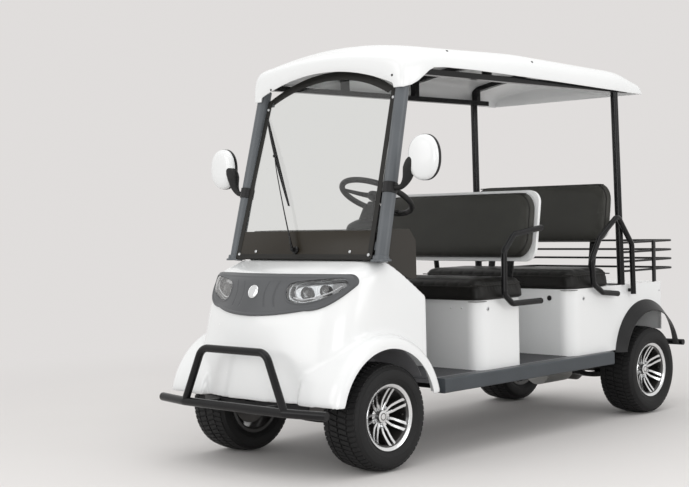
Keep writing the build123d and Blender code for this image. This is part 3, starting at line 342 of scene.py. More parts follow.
# %% The shade and finish classes
class Shade:
    """One socket that holds a number that changes over the surface."""

    def __init__(self, tree, socket):
        self.tree, self.socket = tree, socket

    def _math(self, operation, first, second):
        node = self.tree.nodes.new("ShaderNodeMath")
        node.operation = operation
        for slot, value in zip(node.inputs, (first, second)):
            if isinstance(value, Shade):
                self.tree.links.new(value.socket, slot)
            else:
                slot.default_value = value
        return Shade(self.tree, node.outputs[0])

    def __add__(self, other):
        return self._math("ADD", self, other)

    def __radd__(self, other):
        return self._math("ADD", other, self)

    def __sub__(self, other):
        return self._math("SUBTRACT", self, other)

    def __rsub__(self, other):
        return self._math("SUBTRACT", other, self)

    def __mul__(self, other):
        return self._math("MULTIPLY", self, other)

    def __rmul__(self, other):
        return self._math("MULTIPLY", other, self)


class Finish:
    """A material whose constants sit on the shader's own sockets, and which grows nodes by one method."""

    def __init__(self, name, **constants):
        self.material = bpy.data.materials.new(name)
        self.material.use_nodes = True
        self.tree = self.material.node_tree
        self.shader = self.tree.nodes["Principled BSDF"]
        for key, value in constants.items():
            self.shader.inputs[key.replace("_", " ")].default_value = value
        self.here = self.node("ShaderNodeTexCoord", out="Object")

    def node(self, kind, settings=(), out=0, **sockets):
        """Any node: its settings first, then values or links for its sockets by name."""
        node = self.tree.nodes.new(kind)
        for key, value in dict(settings).items():
            setattr(node, key, value)
        for key, value in sockets.items():
            slot = node.inputs[int(key[1:])] if key[0] == "i" and key[1:].isdigit() else node.inputs[key]
            if isinstance(value, Shade):
                self.tree.links.new(value.socket, slot)
            else:
                slot.default_value = value
        return Shade(self.tree, node.outputs[out])

    def noise(self, scale, detail=3.0, where=None):
        return self.node("ShaderNodeTexNoise", Vector=where or self.here, Scale=scale, Detail=detail)

    def ramp(self, value, stops):
        """A colour ramp from (place, colour) stops."""
        shade = self.node("ShaderNodeValToRGB", Fac=value)
        ramp = shade.socket.node.color_ramp
        while len(ramp.elements) < len(stops):
            ramp.elements.new(1.0)
        for element, (place, colour) in zip(ramp.elements, stops):
            element.position, element.color = place, (*colour, 1)
        return shade

    def mix(self, mask, first, second):
        """A colour between two colours or colour sockets, by a mask."""
        first = first if isinstance(first, Shade) else (*first, 1)
        second = second if isinstance(second, Shade) else (*second, 1)
        return self.node("ShaderNodeMix", {"data_type": "RGBA"}, out=2, i0=mask, i6=first, i7=second)

    def feed(self, socket, value):
        self.tree.links.new(value.socket, self.shader.inputs[socket])
        return self

    def bump(self, height, strength=0.2, distance=0.001):
        normal = self.node("ShaderNodeBump", Strength=strength, Distance=distance, Height=height)
        return self.feed("Normal", normal)

    def axis(self, letter):
        """One coordinate of the place on the surface, in metres."""
        return self.node("ShaderNodeSeparateXYZ", out="XYZ".index(letter), Vector=self.here)


def paint(piece, *finishes):
    """Gives a piece its materials."""
    piece.data.materials.clear()
    for finish in finishes:
        piece.data.materials.append(finish.material)
    return piece


def dress(piece, finish, body="root", replaces=()):
    """Paints a finished piece and lets it ride on a body."""
    if finish is not None:
        paint(piece, finish)
    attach(piece, body)
    if replaces:
        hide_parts(*replaces)
    return piece


print("shader helpers ready")

# %% [markdown]
# ## Finishes
# White mouldings are glass-fibre with a clear gloss coat: nearly even, with a faint ripple, and a film of
# road dust near the ground. Dust is worked out from the height of the point, broken up by noise.

# %% White mouldings
WHITE = (0.80, 0.81, 0.81)
DUST = (0.68, 0.67, 0.65)


def white_moulding(name, dust_top):
    """Gloss white with a dusty film below a height in metres."""
    finish = Finish(name, Coat_Weight=0.5, Coat_Roughness=0.08)
    cloud = finish.noise(3.0, 5.0)
    low = (dust_top - finish.axis("Z")) * 2.2
    clamped = {"use_clamp": True, "operation": "MULTIPLY"}
    mask = finish.node("ShaderNodeMath", clamped, i0=low, i1=cloud * 0.55)
    clean = finish.mix(cloud, WHITE, (0.77, 0.785, 0.79))
    finish.feed("Base Color", finish.mix(mask, clean, DUST))
    finish.feed("Roughness", 0.20 + finish.noise(40.0) * 0.10 + mask * 0.35)
    finish.bump(finish.noise(220.0, 2.0), 0.02, 0.0005)
    return finish


body_white = white_moulding("white_gelcoat", 0.34)
roof_white = white_moulding("roof_gelcoat", 0.10)
print("white mouldings", body_white.material.name, roof_white.material.name)

# %% [markdown]
# The tubes and the chassis are powder coated: a dark, slightly speckled satin with a fine orange peel. The
# same recipe in four greys serves the tubes, the windscreen pillars, the side sills and the chassis.

# %% Powder coats
def powder_coat(name, colour, roughness, peel=0.12):
    """Speckled coat on steel."""
    finish = Finish(name, Coat_Weight=0.2, Coat_Roughness=0.10, Specular_IOR_Level=0.15)
    speck = finish.noise(900.0, 2.0)
    cloud = finish.noise(6.0, 4.0)
    darker = tuple(c * 0.72 for c in colour)
    finish.feed("Base Color", finish.mix(cloud, darker, tuple(c * 1.18 for c in colour)))
    finish.feed("Roughness", roughness + speck * 0.10 + cloud * 0.08 - 0.09)
    finish.bump(finish.noise(420.0, 2.0), peel, 0.0004)
    return finish


black_coat = powder_coat("black_powder_coat", (0.006, 0.006, 0.0065), 0.26)
pillar_coat = powder_coat("pillar_powder_coat", (0.115, 0.125, 0.135), 0.32)
slate_coat = powder_coat("slate_powder_coat", (0.060, 0.068, 0.076), 0.42)
chassis_coat = powder_coat("chassis_coat", (0.010, 0.010, 0.011), 0.50, 0.25)


# %% [markdown]
# Plastics differ by grain. A moulded grain is a cell pattern a millimetre or so across: shallow on trim,
# deeper on the dashboard. A tyre's rubber is rougher and has a dusty bloom.

# %% Plastics and rubber
def grained(name, colour, roughness, scale, depth, bloom=0.0):
    """Moulded plastic or rubber with a cell grain."""
    finish = Finish(name, Specular_IOR_Level=0.3)
    cells = finish.node("ShaderNodeTexVoronoi", {"feature": "SMOOTH_F1"}, Vector=finish.here, Scale=scale)
    cloud = finish.noise(9.0, 6.0)
    pale = tuple(min(1, c * 1.4 + 0.003 + bloom) for c in colour)
    finish.feed("Base Color", finish.mix(cloud * 0.6, colour, pale))
    finish.feed("Roughness", roughness + cloud * 0.12 - cells * 0.06)
    finish.bump(cells + finish.noise(scale * 2.5) * 0.3, depth, 0.0006)
    return finish


trim_plastic = grained("trim_plastic", (0.009, 0.009, 0.0095), 0.38, 900.0, 0.25)
dash_plastic = grained("dash_plastic", (0.030, 0.027, 0.023), 0.55, 420.0, 0.45)
grille_plastic = grained("grille_plastic", (0.075, 0.078, 0.082), 0.36, 1100.0, 0.12)
liner_plastic = grained("liner_plastic", (0.20, 0.20, 0.21), 0.62, 500.0, 0.3, 0.02)
tyre_rubber = grained("tyre_rubber", (0.0065, 0.0065, 0.0068), 0.58, 700.0, 0.3, 0.004)
seal_rubber = grained("seal_rubber", (0.010, 0.0095, 0.008), 0.50, 1200.0, 0.1)
grip_rubber = grained("grip_rubber", (0.008, 0.008, 0.008), 0.46, 1500.0, 0.35)
battery_case = grained("battery_case", (0.05, 0.05, 0.055), 0.5, 600.0, 0.2)
print("coats, plastics and rubbers", len(bpy.data.materials))

# %% [markdown]
# Bare metals are almost wholly metallic. A machined wheel face shows the cutter's fine rings, which are a
# sine of the distance from the hub; chrome is smooth; cast steel is dull and mottled.

# %% Metals
def metal(name, colour, roughness, spread=0.08, scale=60.0):
    finish = Finish(name, Metallic=1.0)
    cloud = finish.noise(scale, 4.0)
    finish.feed("Base Color", finish.mix(cloud, tuple(c * 0.88 for c in colour), colour))
    finish.feed("Roughness", roughness + cloud * spread)
    finish.bump(finish.noise(scale * 12, 2.0), 0.05, 0.0003)
    return finish


chrome = metal("bright_chrome", (0.86, 0.87, 0.88), 0.06)
lamp_bowl = metal("lamp_bowl", (0.36, 0.37, 0.38), 0.10)
screw_steel = metal("screw_steel", (0.62, 0.63, 0.64), 0.25)
axle_steel = metal("axle_steel", (0.16, 0.155, 0.15), 0.45, 0.2, 30.0)
motor_alloy = metal("motor_alloy", (0.42, 0.42, 0.41), 0.42, 0.15, 40.0)


def machined(name, centre):
    """Bright turned face about a wheel's axis, with the cutter's rings."""
    finish = Finish(name, Metallic=1.0)
    place = finish.node("ShaderNodeMapping", Vector=finish.here, Location=tuple(-c for c in centre),
                        Scale=(0.0, 1.0, 1.0))
    reach = finish.node("ShaderNodeVectorMath", {"operation": "LENGTH"}, out=1, i0=place)
    rings = finish.node("ShaderNodeMath", {"operation": "SINE"}, i0=reach * 9000.0)
    cloud = finish.noise(25.0)
    finish.feed("Base Color", finish.mix(cloud, (0.74, 0.75, 0.76), (0.86, 0.865, 0.87)))
    finish.feed("Roughness", 0.17 + rings * 0.03 + cloud * 0.06)
    finish.bump(rings, 0.06, 0.0002)
    return finish


gloss_black = Finish("wheel_black", Coat_Weight=0.6, Coat_Roughness=0.1)
soot = gloss_black.noise(30.0, 5.0)
gloss_black.feed("Base Color", gloss_black.mix(soot, (0.010, 0.010, 0.011), (0.028, 0.026, 0.024)))
gloss_black.feed("Roughness", 0.22 + soot * 0.2)
gloss_black.bump(gloss_black.noise(500.0), 0.04, 0.0003)

# %% [markdown]
# Glass needs light to pass. The windscreen is clear with a breath of green, and a little dust; the lamps'
# covers are clear; the mirrors' glass is a silvered face, which is simply a very smooth metal.

# %% Glasses and lamps
screen_glass = Finish("screen_glass", Base_Color=(0.93, 0.955, 0.945, 1), Transmission_Weight=1.0, IOR=1.45)
screen_glass.feed("Roughness", screen_glass.noise(5.0, 6.0) * 0.03)
lamp_glass = Finish("lamp_glass", Base_Color=(0.97, 0.98, 0.98, 1), Transmission_Weight=1.0, IOR=1.42)
lamp_glass.feed("Roughness", lamp_glass.noise(30.0) * 0.03)
mirror_glass = metal("mirror_glass", (0.90, 0.91, 0.92), 0.01, 0.02)
light_bar_milk = grained("light_bar_milk", (0.75, 0.76, 0.78), 0.25, 500.0, 0.02)
print("finishes", len(bpy.data.materials))

# %% [markdown]
# ## The nose as one flowing form
# The real bonnet is a single moulding: flat sections stacked upwards would show their joints. Here each
# height gets its own outline, worked out from a few measured heights and smoothed along both ways. Two
# round flares are added, and an even remesh lets them flow into the bonnet before the openings are cut.

# %% Outline of the nose at a height
NOSE_REAR = 300.0
NOSE_LOW, NOSE_TOP = 300.0, 885.0
HEIGHTS = (300.0, 470.0, 662.0, 839.0, 885.0)
HALF_WIDTHS = (470.0, 470.0, 470.0, 466.0, 446.0)
FRONTS = (-358.0, -352.0, -330.0, -262.0, -80.0)
CORNERS = (-300.0, -285.0, -245.0, -180.0, -20.0)
CORNER_RADII = (130.0, 150.0, 170.0, 170.0, 120.0)
NOSE_POINTS = 161


def nose_row(z, grow, rear):
    """The outline at one height, from the right rear edge round the front to the left."""
    half, front, corner, radius = (
        float(np.interp(z, HEIGHTS, column)) for column in (HALF_WIDTHS, FRONTS, CORNERS, CORNER_RADII)
    )
    flat = half - radius
    sag = corner - front
    reach = (flat ** 2 + sag ** 2) / (2 * sag)
    raw = [(half, rear), (half, corner + radius)]
    for k in range(1, 16):
        a = math.radians(90 * k / 16)
        raw.append((flat + radius * math.cos(a), corner + radius - radius * math.sin(a)))
    for k in range(0, 11):
        x = flat * (1 - k / 10)
        raw.append((x, front + reach - math.sqrt(reach ** 2 - x ** 2)))
    raw = raw + [(-x, y) for x, y in reversed(raw[:-1])]
    line = relaxed(evenly(raw, NOSE_POINTS), 30)
    turn = np.gradient(line, axis=0)
    turn /= np.hypot(turn[:, 0], turn[:, 1])[:, None]
    out = np.c_[-turn[:, 1], turn[:, 0]]
    if out[NOSE_POINTS // 2, 1] > 0:
        out = -out
    line = line + out * grow
    line[0], line[-1] = (half + grow, rear), (-half - grow, rear)
    return line


print("outline points", len(nose_row(600, 0, NOSE_REAR)))

# %% The nose as a solid
SLOPE_START, SLOPE_END, SLOPE_LOW = 66.0, 295.0, 727.0
# How far a cutting shape reaches ahead of the nose, and how far past the back it ends
AHEAD_OF_NOSE, PAST_BACK = -520, 60


def nose_form(name, grow, lower=0.0, rear_extra=0.0):
    """The bonnet as a closed solid, grown outwards by a length, under the slope of its sides."""
    heights = np.linspace(NOSE_LOW, NOSE_TOP, 66)
    stack = relaxed(np.array([nose_row(z, grow, NOSE_REAR + rear_extra) for z in heights]), 10)
    top = NOSE_TOP + grow
    heights[0], heights[-1] = NOSE_LOW - lower, top
    solid = prism(name, [[at(x, y, z) for x, y in row] for row, z in zip(stack, heights)])
    fall = (NOSE_TOP - SLOPE_LOW) / (SLOPE_END - SLOPE_START)
    end, over = NOSE_REAR + 90, top + 60
    outline = [(SLOPE_START, top), (end, top - fall * (end - SLOPE_START)), (end, over), (SLOPE_START, over)]
    return carve(solid, side_plate("slope", outline, -600, 600))


def slice_of_nose(name, grow, outline):
    """The part of the nose form that lies behind an outline seen from the front."""
    window = front_plate("window", outline, AHEAD_OF_NOSE, 0)
    return carve(nose_form(name, grow), window, "INTERSECT")


def inner_nose(grow):
    """A smaller nose form that hollows out a slice, open at its back and below."""
    return nose_form("inner_nose", grow, PAST_BACK, PAST_BACK)


FLARE_Y, FLARE_Z, FLARE_R, FLARE_OUT, FLARE_EDGE = -12.0, 236.0, 343.0, 540.0, 45.0


def flare(name, grow, inner):
    """A round flare over the left front wheel, with a soft outer edge."""
    radius, out, edge = FLARE_R + grow, FLARE_OUT + grow, FLARE_EDGE + grow
    profile = [(inner, 0.0), (inner, radius), (out - edge, radius)]
    for k in range(1, 9):
        a = math.radians(90 * k / 8)
        profile.append((out - edge + edge * math.sin(a), radius - edge + edge * math.cos(a)))
    profile.append((out, 0.0))
    return turned(name, profile, at(0, FLARE_Y, FLARE_Z), (1, 0, 0), 96)


nose = nose_form("nose_skin", 0)
for side in (1, -1):
    left = flare("flare", 0, 300)
    left = carve(left, block("under", (200, -500, -200), (700, 500, NOSE_LOW)))
    nose = carve(nose, left if side > 0 else on_right(left, "flare_right"), "UNION")
nose = remesh(nose, 8, 14)
bonnet_form = copied(nose, "bonnet_form")
print("nose faces", len(nose.data.polygons))

# %% [markdown]
# The shell is 5 mm thick. Subtracting a slightly smaller nose, the wheel arches, the lamp band's oval and the
# dashboard's place leaves the moulding with true openings and a visible edge all round them.

# %% Hollow the nose and cut its openings
GRILLE_END, GRILLE_TOP_X, GRILLE_LOW_X = 441.0, 402.0, 266.0
GRILLE_TOP, GRILLE_TIP, GRILLE_LOW = 836.0, 790.0, 686.0
GRILLE_CROWN, GRILLE_CROWN_SIDE, GRILLE_CHIN, GRILLE_CHIN_SIDE = 839.0, 838.2, 662.0, 668.2
SHELL_WALL = 5


def arc3(a, b, c, steps):
    """Points of the arc through three (x, z) places, without the last one."""
    (ax, ay), (bx, by), (cx, cy) = a, b, c
    d = 2 * (ax * (by - cy) + bx * (cy - ay) + cx * (ay - by))
    aa, bb, cc = ax ** 2 + ay ** 2, bx ** 2 + by ** 2, cx ** 2 + cy ** 2
    ux = (aa * (by - cy) + bb * (cy - ay) + cc * (ay - by)) / d
    uy = (aa * (cx - bx) + bb * (ax - cx) + cc * (bx - ax)) / d
    r = math.hypot(ax - ux, ay - uy)
    start, mid, end = (math.atan2(y - uy, x - ux) for x, y in (a, b, c))
    way = 1 if (mid - start) % (2 * math.pi) < (end - start) % (2 * math.pi) else -1
    span = ((end - start) * way) % (2 * math.pi) * way
    return [(ux + r * math.cos(start + span * k / steps), uy + r * math.sin(start + span * k / steps))
            for k in range(steps)]


def grille_oval(grow):
    """The band's outline seen from the front, in millimetres."""
    end, top, low = GRILLE_END + grow, GRILLE_TOP + grow, GRILLE_LOW - grow
    crown = (GRILLE_TOP_X / 2, GRILLE_CROWN_SIDE + grow)
    tip = (end, GRILLE_TIP + (top - GRILLE_TIP) * 0.33)
    belly = (GRILLE_LOW_X + (end - GRILLE_LOW_X) * 0.62, low + (GRILLE_TIP - low) * 0.28)
    chin, middle = (GRILLE_LOW_X / 2, GRILLE_CHIN_SIDE - grow), (0, GRILLE_CHIN - grow)
    right = arc3((0, GRILLE_CROWN + grow), crown, (GRILLE_TOP_X, top), 12)
    right += arc3((GRILLE_TOP_X, top), tip, (end, GRILLE_TIP), 12)
    right += arc3((end, GRILLE_TIP), belly, (GRILLE_LOW_X, low), 16)
    right += arc3((GRILLE_LOW_X, low), chin, middle, 12)
    left = [(-x, z) for x, z in reversed(right[1:])]
    return right + [middle] + left


nose = carve(nose, nose_form("hollow", -SHELL_WALL, 80, 80))
void = flare("void", -SHELL_WALL, 380)
nose = carve(nose, mirrored(void, "void_right"))
nose = carve(nose, void)
for name, low, high in (("arch", 330, 640), ("arch_right", -640, -330)):
    arch = turned(name, [(low, 0), (low, 286), (high, 286), (high, 0)], at(0, -22, 236), (1, 0, 0), 96)
    nose = carve(nose, arch)
nose = carve(nose, front_plate("oval", grille_oval(0.5), AHEAD_OF_NOSE, 0))
nose = carve(nose, block("dash_place", (-425.5, SLOPE_START, 640), (425.5, 420, 980)))
crease(nose, 38)
dress(nose, body_white, "root", ["nose_shell"])
print("nose shell faces", len(nose.data.polygons))

# %% [markdown]
# ## The band across the nose
# The dark band is a separate moulding that lies in the oval: a raised rim, a slightly sunk middle with
# shallow bow-shaped slots, and an opening for each lamp. Every part of it is a slice of the same nose form,
# so it follows the curve exactly. A fine remesh then rounds all its edges, as a mould would.

# %% Lamp outline and bow-shaped slots
LAMP = ((175, 766), (187, 797), (234, 808), (312, 814), (379, 820), (413, 811), (415, 787), (383, 757),
        (317, 733), (250, 719), (194, 731))


def lamp_outline(grow, side=1):
    """The outline of a lamp, grown away from its middle. side is 1 on the left and -1 on the right."""
    centre = np.array([295.0, 771.0])
    points = []
    for place in smooth_outline(LAMP, 8):
        way = np.array(place) - centre
        x, z = np.array(place) + way / np.hypot(*way) * grow
        points.append((x * side, z))
    return points


def bow_slot(x, lean, width=7.0):
    """A thin slot, bowed sideways, as a closed outline."""
    middle = [(x + lean * 16 * (2 * t - 1) ** 2, 700 + 108 * t) for t in np.linspace(0, 1, 13)]
    return [(a - width / 2, b) for a, b in middle] + [(a + width / 2, b) for a, b in reversed(middle)]


print("lamp outline", len(lamp_outline(0)), "points, slot", len(bow_slot(66, 1)), "points")

# %% The band's slices and cuts
band = slice_of_nose("grille_band", 5, grille_oval(0))
rim = slice_of_nose("rim", 10, grille_oval(-1))
rim = carve(rim, front_plate("rim_in", grille_oval(-12), AHEAD_OF_NOSE, 0))
band = carve(band, rim, "UNION")
for side in (1, -1):
    band = carve(band, slice_of_nose("lip", 8, lamp_outline(7, side)), "UNION")
    band = carve(band, front_plate("hole", lamp_outline(1, side), AHEAD_OF_NOSE, 0))
for x in (66, 118):
    for side in (1, -1):
        slot = front_plate("slot", bow_slot(x * side, side), AHEAD_OF_NOSE, 0)
        band = carve(band, carve(slot, nose_form("floor", 1.0)))
for side in (1, -1):
    joint = [(side * x, z) for x, z in ((161, 655), (164, 655), (164, 845), (161, 845))]
    joint = carve(front_plate("joint", joint, AHEAD_OF_NOSE, 0), nose_form("floor", 1.5))
    band = carve(band, joint)
band = carve(band, inner_nose(-9))
band = remesh(band, 2.6, 3)
dress(band, grille_plastic, "root", ["grille_panel"])
print("band faces", len(band.data.polygons))

# %% [markdown]
# ## Lamps
# Each lamp is a clear cover over a dark bowl, with two round projectors, a bright bowl edge and a thin light
# bar. The cover is again a slice of the nose form. The parts inside sit a few centimetres behind it, on the
# bowl, so that they show depth through the cover from any side.

# %% Lamp covers and bowls
for side, name in ((1, "left"), (-1, "right")):
    cover = slice_of_nose("lamp_cover_" + name, 4.5, lamp_outline(0, side))
    cover = crease(carve(cover, inner_nose(1.0)), 40)
    dress(cover, lamp_glass, "root", ["headlights"])
    bowl = slice_of_nose("lamp_bowl_" + name, -10, lamp_outline(3, side))
    bowl = carve(bowl, inner_nose(-42))
    well = front_plate("well", lamp_outline(-7, side), AHEAD_OF_NOSE, 0)
    bowl = carve(bowl, carve(well, inner_nose(-36)))
    dress(remesh(bowl, 2.5, 2), lamp_bowl, "root")
print("lamps made")


# %% Projectors and light bars
def on_nose(x, z, lift=0.0):
    """A point and the outward normal on the nose form, from its place seen from the front."""
    _, place, normal, _ = bonnet_form.ray_cast(at(x, -900, z), Vector((0, 1, 0)))
    return place + normal * mm(lift), normal


def domed(rim, base, rise, radius, tip):
    """A profile: the rim's points, then a dome that ends in a small flat tip."""
    angles = [math.radians(degrees) for degrees in range(10, 90, 10)]
    dome = [(base + rise * math.sin(a), radius * math.cos(a)) for a in angles]
    return rim + dome + [(base + rise, tip)]


# Columns: place across, height and radius of each lens
PROJECTORS = ((252, 766, 22), (330, 776, 20))
BAR_PLACES = ((204, 744), (246, 735), (311, 748), (371, 770), (397, 792))
for side, name in ((1, "left"), (-1, "right")):
    lenses, barrels = [], []
    for x, z, radius in PROJECTORS:
        place, normal = on_nose(x * side, z, -30)
        facing = (normal + Vector((0, -1.2, 0))).normalized()
        tube_wall = [(-8, radius + 5), (12, radius + 5), (14, radius + 2), (10, radius), (-2, radius)]
        barrels.append(turned("barrel", tube_wall, place, facing, 40))
        lens = domed([(-2, radius), (0, radius)], 0, 9, radius, 0.4)
        lenses.append(turned("lens", lens, place, facing, 40))
    dress(joined("lamp_barrels_" + name, barrels), trim_plastic, "root")
    dress(joined("lamp_lenses_" + name, lenses), lamp_glass, "root")
    line = [on_nose(x * side, z, -12)[0] for x, z in BAR_PLACES]
    dress(tube("light_bar_" + name, soften(line, 6), 3.2, 10), light_bar_milk, "root")
print("projectors", 2 * len(PROJECTORS))

# %% [markdown]
# The middle of the band carries a domed disc in a ring. It is one more turning, set square to the nose.

# %% Disc in the middle of the band
place, normal = on_nose(0, 762, 4)
disc = domed([(0, 30), (3.5, 30), (5.2, 28.5), (5.6, 26.5), (4.2, 25)], 4.2, 3.0, 25, 0.3)
dress(turned("badge_disc", disc, place, normal, 64), chrome, "root")
print("disc at", [round(c, 3) for c in place])

# %% [markdown]
# ## The roof as one sheet
# The canopy is one moulded sheet. Its rows run across the vehicle: the first follows the arch over the
# windscreen, the next ones turn round the brow, then come the ribs of the crown, and the last fold down at
# the tail. Both ends of every row lie on the lower edge of the side skirt. A wall is given by Solidify.

# %% Roof rows
ROOF_Y = (160, 300, 1000, 1880, 2060)
ROOF_HALF = (474, 500, 506, 500, 490)
ROOF_CROWN = (1798, 1858, 1872, 1846, 1780)
ROOF_SHOULDER = (1766, 1818, 1832, 1804, 1744)
ROOF_RADIUS = (60, 90, 90, 90, 50)
SKIRT_Y = (160, 172, 215, 250, 285, 315, 345, 420, 631, 1336, 1943, 2060)
SKIRT_Z = (1629, 1630, 1640, 1658, 1684, 1706, 1720, 1726, 1726, 1708, 1690, 1690)
ROOF_POINTS = 97


def eased(y, places, values):
    """A smooth value between measured sections."""
    near = [float(np.interp(y + d, places, values)) for d in (-60, -30, 0, 30, 60)]
    return float(np.dot(near, (0.1, 0.2, 0.4, 0.2, 0.1)))


def roof_row(y, draw=0.0):
    """One row across the roof at a place along it, drawn in by a length."""
    half = eased(y, ROOF_Y, ROOF_HALF) - draw
    crown = eased(y, ROOF_Y, ROOF_CROWN) - draw
    shoulder = eased(y, ROOF_Y, ROOF_SHOULDER) - draw
    radius = eased(y, ROOF_Y, ROOF_RADIUS)
    skirt = float(np.interp(y, SKIRT_Y, SKIRT_Z))
    side = max(shoulder - radius, skirt + 2)
    top = half - radius
    raw = [(half, skirt), (half, side)]
    for k in range(1, 9):
        a = math.radians(90 * k / 9)
        raw.append((top + radius * math.cos(a), side + (shoulder - side) * math.sin(a)))
    rise = crown - shoulder
    for k in range(0, 13):
        x = top * (1 - k / 12)
        raw.append((x, shoulder + rise * (1 - (x / top) ** 2)))
    raw = raw + [(-x, z) for x, z in reversed(raw[:-1])]
    return relaxed(evenly(raw, ROOF_POINTS), 6)


print("roof row", len(roof_row(1000)), "points")

# %% Roof sheet
# The edge of the opening over the windscreen is an arc between two short uprights
arch = [(424, 1629), (421, 1640)] + arc3((418, 1650), (0, 1731), (-418, 1650), 60)
arch = evenly(arch + [(-418, 1650), (-421, 1640), (-424, 1629)], ROOF_POINTS)
brow = roof_row(160)
rows = [[at(x, 163, z) for x, z in arch]]
for share, y in ((0.35, 161.5), (0.62, 161), (0.78, 162), (0.90, 166), (0.97, 173)):
    rows.append([at(a, y, b) for a, b in arch + (brow - arch) * share])
stations = [182, 196, 214, 232, 250, 268, 285, 300, 315, 330, 345, 370, 420]
stations += list(range(480, 1980, 60)) + [2000, 2030, 2044]
for y in stations:
    rows.append([at(x, y, z) for x, z in roof_row(y)])
tail = roof_row(2050, 3)
rows.append([at(x, 2053, z) for x, z in tail])
for share in (0.12, 0.5, 1.0):
    rows.append([at(x, 2057, z + (min(z, 1690) - z) * share) for x, z in tail])
roof = outward(skin("roof_canopy", rows))
print("roof rows", len(rows))

# %% Give the roof its wall
edit = bmesh.new()
edit.from_mesh(roof.data)
middle = max(edit.faces, key=lambda f: f.calc_center_median().z)
if middle.normal.z < 0:
    bmesh.ops.reverse_faces(edit, faces=edit.faces)
edit.to_mesh(roof.data)
edit.free()
wall = roof.modifiers.new("wall", "SOLIDIFY")
wall.thickness, wall.offset, wall.use_even_offset = mm(6), -1, True
edge = roof.modifiers.new("edge", "BEVEL")
edge.width, edge.segments, edge.limit_method, edge.angle_limit = mm(1.8), 2, "ANGLE", math.radians(50)
crease(bake(roof), 45)
dress(roof, roof_white, "root", ["roof_panel"])
print("roof faces", len(roof.data.polygons))

# %% [markdown]
# ## Rings of like things
# Tread blocks, spokes and lug nuts stand in rings, and the ribs of a mat in a row. A Geometry Nodes tree
# sets a piece on points, realises the copies and gives them their finish. The ends of both trees are alike,
# so two helpers make and link them. A third hands a tree its inputs and turns the result into a plain mesh.

# %% Helpers for Geometry Nodes trees
ALWAYS_ASKED = {"Copies": "NodeSocketInt", "Piece": "NodeSocketObject", "Finish": "NodeSocketMaterial"}
ALWAYS_THERE = {"given": "NodeGroupInput", "result": "NodeGroupOutput", "info": "GeometryNodeObjectInfo",
                "copies": "GeometryNodeInstanceOnPoints", "real": "GeometryNodeRealizeInstances",
                "coat": "GeometryNodeSetMaterial"}
ALWAYS_LINKED = ((("given", "Piece"), ("info", "Object")), (("info", "Geometry"), ("copies", "Instance")),
                 (("real", 0), ("coat", "Geometry")), (("given", "Finish"), ("coat", "Material")),
                 (("coat", 0), ("result", 0)))


def new_tree(name, inputs, kinds):
    """A tree with its inputs and nodes: the tree, the inputs' identifiers and the nodes by name."""
    group = bpy.data.node_groups.new(name, "GeometryNodeTree")
    group.interface.new_socket("Geometry", in_out="OUTPUT", socket_type="NodeSocketGeometry")
    asked = {}
    for label, kind in (ALWAYS_ASKED | inputs).items():
        asked[label] = group.interface.new_socket(label, in_out="INPUT", socket_type=kind).identifier
    node = {key: group.nodes.new(kind) for key, kind in (ALWAYS_THERE | kinds).items()}
    return group, asked, node


def link_all(group, node, links):
    """Links given as pairs of (node, socket)."""
    for (first, out), (second, into) in links + ALWAYS_LINKED:
        group.links.new(node[first].outputs[out], node[second].inputs[into])


def repeated(name, group, asked, piece, finish, **values):
    """A plain mesh of the copies that a tree makes of a piece."""
    holder = new_piece(name, [(0, 0, 0)], [])
    tool = holder.modifiers.new("copies", "NODES")
    tool.node_group = group
    for label, value in dict(values, Piece=piece, Finish=finish.material).items():
        tool[asked[label]] = value
    bake(holder)
    bpy.data.objects.remove(piece)
    return holder


print("helpers for trees ready")

# %% [markdown]
# The first tree makes a ring: it turns each copy to face outwards, turns the whole ring about its axis and
# lays it on the wheel's axis. Besides the piece and its finish it asks for the number of copies, the circle's
# radius and that turn.


# %% A ring made with Geometry Nodes
def ring_tree():
    group, asked, node = new_tree(
        "ring_about_x", {"Radius": "NodeSocketFloat", "Turn": "NodeSocketVector"},
        {"circle": "GeometryNodeMeshCircle", "index": "GeometryNodeInputIndex", "step": "ShaderNodeMath",
         "angle": "ShaderNodeMath", "facing": "ShaderNodeCombineXYZ", "turn": "GeometryNodeTransform",
         "lay": "GeometryNodeTransform"})
    node["step"].operation, node["angle"].operation = "DIVIDE", "MULTIPLY"
    node["step"].inputs[0].default_value = 2 * math.pi
    node["lay"].inputs["Rotation"].default_value = (0, math.pi / 2, 0)
    link_all(group, node, (
        (("given", "Copies"), ("circle", "Vertices")), (("given", "Radius"), ("circle", "Radius")),
        (("given", "Copies"), ("step", 1)), (("index", 0), ("angle", 0)), (("step", 0), ("angle", 1)),
        (("angle", 0), ("facing", "Z")), (("circle", 0), ("copies", "Points")),
        (("facing", 0), ("copies", "Rotation")), (("copies", 0), ("turn", "Geometry")),
        (("given", "Turn"), ("turn", "Rotation")), (("turn", 0), ("lay", "Geometry")),
        (("lay", 0), ("real", 0)),
    ))
    return group, asked


RING, RING_INPUTS = ring_tree()


def ring_of(name, piece, finish, count, radius, degrees=0.0):
    """Copies of a piece about the X axis. The piece looks outwards along +X, with its width along Z."""
    return repeated(name, RING, RING_INPUTS, piece, finish, Copies=count, Radius=mm(radius),
                    Turn=(0, 0, math.radians(degrees)))


def hollow_ring(name, profile, segments=96):
    """A turned ring about the X axis from a closed profile of (along, radius) pairs."""
    rows = []
    for along, radius in profile:
        rows.append([Vector((along, math.cos(a) * radius, math.sin(a) * radius)) / 1000
                     for a in circle_angles(segments)])
    return outward(skin(name, rows, ring=True, loop=True))


print("ring tree", len(RING.nodes), "nodes")

# %% [markdown]
# ## Tyres
# The carcass is a turned ring: beads, bulged sidewalls with fine ribs and shoulders, and a crown that lies
# below the tread. Four rows of blocks stand on it, skewed to the left and the right by turns. The grooves are
# the gaps between the blocks.

